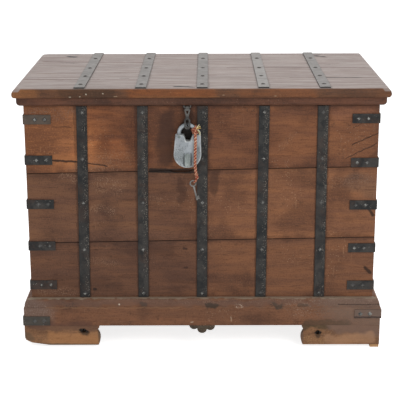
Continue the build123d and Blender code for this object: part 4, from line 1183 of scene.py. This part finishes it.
def swept_tube(name, places, wall, around, tint=None, closed=False):
    """A tube whose radius is wall(turn, along); tint(turn, along) is kept as an attribute."""
    shape = bmesh.new()
    strand = shape.verts.layers.float.new("strand")
    rings = []
    along = 0.0
    side = Vector((1.0, 0.0, 0.0))
    count = len(places)
    for i, place in enumerate(places):
        if closed:
            before, after = places[i - 1], places[(i + 1) % count]
        else:
            before, after = places[max(i - 1, 0)], places[min(i + 1, count - 1)]
        forward = (after - before).normalized()
        side = (side - forward * side.dot(forward)).normalized()
        up = forward.cross(side)
        if i:
            along += (place - places[i - 1]).length
        ring = []
        for turn in [2 * pi * j / around for j in range(around)]:
            made = shape.verts.new(place + (side * cos(turn) + up * sin(turn)) * wall(turn, along))
            made[strand] = tint(turn, along) if tint else 0.5
            ring.append(made)
        rings.append(ring)
    for a, b in zip(rings, rings[1:] + rings[:1] if closed else rings[1:]):
        for j in range(around):
            shape.faces.new((a[j], a[(j + 1) % around], b[(j + 1) % around], b[j]))
    if not closed:
        shape.faces.new(rings[0][::-1])
        shape.faces.new(rings[-1])
    for face in shape.faces:
        face.smooth = True
    bmesh.ops.recalc_face_normals(shape, faces=shape.faces)
    data = bpy.data.meshes.new(name)
    shape.to_mesh(data)
    shape.free()
    made = bpy.data.objects.new(name, data)
    bpy.context.collection.objects.link(made)
    return made


print("cord points", len(even_steps(cord_line, 0.0006)))

# %% [markdown]
# In a plait, two families of strands run round the cord in opposite ways. Two waves, one for
# each family, cross on the tube's wall, and the higher one is the strand on top.

# %% Plait
plait_strands = 2


def crossing(turn, along, pitch):
    """How high the left and the right family of strands stand at a point, -1 to 1."""
    sweep = 2 * pi * along / pitch
    return cos(plait_strands * turn + sweep), cos(plait_strands * turn - sweep)


def plait(name, places, radius, pitch, around, closed=False):
    """A tube whose wall rises over each strand, and whose points say which strand is on top."""

    def wall(turn, along):
        return radius * (0.76 + 0.24 * max(0.5 + 0.5 * wave for wave in crossing(turn, along, pitch)))

    def strand(turn, along):
        left, right = crossing(turn, along, pitch)
        return 0.5 + 0.5 * left if left > right else 1.5 + 0.5 * right

    return swept_tube(name, places, wall, around, strand, closed)


plaited_cord = plait("plaited_cord", even_steps(cord_line, 0.0006), 0.0042, 0.0092, 28)
print("cord faces", len(plaited_cord.data.polygons))

# %% [markdown]
# ## Yarn
# The yarn is red and orange, with pale flecks where the cotton has lost its dye. The strand
# attribute tells the two families apart and paints shade into the valleys between them, which
# a pattern in space could not do on a hanging cord.


# %% Yarn finish
def yarn(name, red, orange, faded):
    made, shader, here = finish(name, 0.15)
    strand = node(here.id_data, "ShaderNodeAttribute", attribute_name="strand").outputs["Fac"]
    fibres = noise(here, 900.0, 3.0, 0.6)
    crest = times(band(strand, 1.80, 1.93), 0.9)
    flecks = times(band(noise(here, 330.0, 2.0, 0.5), 0.56, 0.66), 0.7)
    colour = blend(band(strand, 0.98, 1.02), red, orange)
    for mask, tint in (
        # painted shade in the valleys between the strands
        (band(math("FRACT", strand), 0.05, 0.7, 0.85, 0.0), (70, 20, 12)),
        (band(fibres, 0.50, 0.66, 0.0, 0.6), faded),
        (crest, faded),
        (flecks, faded),
    ):
        colour = blend(mask, colour, tint)
    feed(shader.inputs["Base Color"], colour)
    shader.inputs["Roughness"].default_value = 0.9
    raise_by(shader, fibres, 0.5, 0.0003)
    return made


red_yarn = yarn("red_yarn", (146, 40, 30), (176, 64, 42), (234, 200, 164))
plaited_cord.data.materials.append(red_yarn)
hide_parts("key_cord")
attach(plaited_cord, "shackle")
print("cord dressed in", red_yarn.name)

# %% [markdown]
# ## Knots
# The cord is tied by turns of yarn: six round the shackle's bow, two through the key's ring
# and four round the cord itself. Each turn is the same plaited tube on a closed circle. The
# ones on the bow lie at angles round the bow's middle, so they fan out as wound yarn does.


# %% Circles to wind on
def ring_line(centre, axis, radius, count):
    """Points on a circle about an axis."""
    axis = Vector(axis).normalized()
    first = axis.orthogonal().normalized()
    second = axis.cross(first)
    turns = [2 * pi * i / count for i in range(count)]
    return [Vector(centre) + (first * cos(t) + second * sin(t)) * radius for t in turns]


def on_circle(middle, radius, turn):
    """A place on an upright circle, and the way its rim runs there."""
    x, y, z = middle
    return Vector((x + radius * sin(turn), y, z + radius * cos(turn))), (cos(turn), 0.0, -sin(turn))


lock_x = -0.040
bow_middle = (lock_x, front_y - 0.0163, 0.650)
bow_radius = 0.0235
print("shackle's bow about", bow_middle)

# %% [markdown]
# The key's ring is met where the cord ends, turned with it. The turns round the cord are set
# at points of its own line, two near each end, square to the line there.

# %% Turns of yarn
windings = []
bow_turns = ((50.0, 0.0), (57.0, 0.0003), (64.0, 0.0), (71.0, 0.0004), (79.0, 0.0), (88.0, 0.0002))
for degrees, lift in bow_turns:
    place, axis = on_circle(bow_middle, bow_radius, radians(degrees))
    windings.append((ring_line(place, axis, 0.0081 + lift, 96), 0.0022))
key_turn = radians(50.0)
across, up = 0.00995 * cos(key_turn), 0.00995 * sin(key_turn)
ring_middle = Vector((lock_x + 0.0154 + across, front_y - 0.037, 0.508 + up))
ring_axis = Vector((-sin(key_turn), 0.0, cos(key_turn)))
for step in (-0.0013, 0.0013):
    windings.append((ring_line(ring_middle + ring_axis * step, ring_axis, 0.0062, 80), 0.0015))
for index, radius in ((6, 0.0043), (13, 0.0041), (-8, 0.0040), (-14, 0.0041)):
    along = cord_line[index] - cord_line[index - 1]
    windings.append((ring_line(cord_line[index], along, radius, 80), 0.0017))
wound = [
    plait(f"turn_{i}", line, radius, 0.006, 12, closed=True) for i, (line, radius) in enumerate(windings)
]
for piece in wound:
    piece.data.materials.append(red_yarn)
print("turns of yarn", len(wound))

# %% [markdown]
# Five threads stick out of the knot, yellow and grey-green. They are too thin to plait, so
# each is a plain tube along its own smooth line. All the yarn is then joined into one piece,
# because it moves as one with the shackle.

# %% Loose threads
thread_y = front_y - 0.0275
loose_ends = [
    ([(-0.015, 0.665), (-0.009, 0.67), (-0.003, 0.6715)], (238, 216, 150)),
    ([(-0.015, 0.664), (-0.008, 0.667), (-0.002, 0.666)], (232, 196, 120)),
    ([(-0.014, 0.666), (-0.01, 0.6735), (-0.006, 0.676)], (240, 226, 190)),
    ([(-0.012, 0.66), (-0.006, 0.656), (-0.0055, 0.64), (-0.0075, 0.623)], (184, 190, 140)),
    ([(-0.012, 0.662), (-0.004, 0.658), (-0.004, 0.644), (-0.006, 0.63)], (226, 220, 196)),
]
for i, (places, tint) in enumerate(loose_ends):
    line = smooth_line(f"thread_line_{i}", [(x, thread_y, z) for x, z in places])
    thread = swept_tube(f"thread_{i}", even_steps(line, 0.0008), lambda turn, along: 0.0009, 8)
    made, shader, here = finish(f"thread_{i}", 0.5)
    shader.inputs["Base Color"].default_value = srgb(*tint)
    shader.inputs["Roughness"].default_value = 0.9
    thread.data.materials.append(made)
    wound.append(thread)
bpy.ops.object.select_all(action="DESELECT")
for piece in wound:
    piece.select_set(True)
bpy.context.view_layer.objects.active = wound[0]
bpy.ops.object.join()
cord_turns = bpy.context.object
cord_turns.name = "cord_turns"
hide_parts("cord_knots")
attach(cord_turns, "shackle")
print("cord turns", len(cord_turns.data.polygons), "faces")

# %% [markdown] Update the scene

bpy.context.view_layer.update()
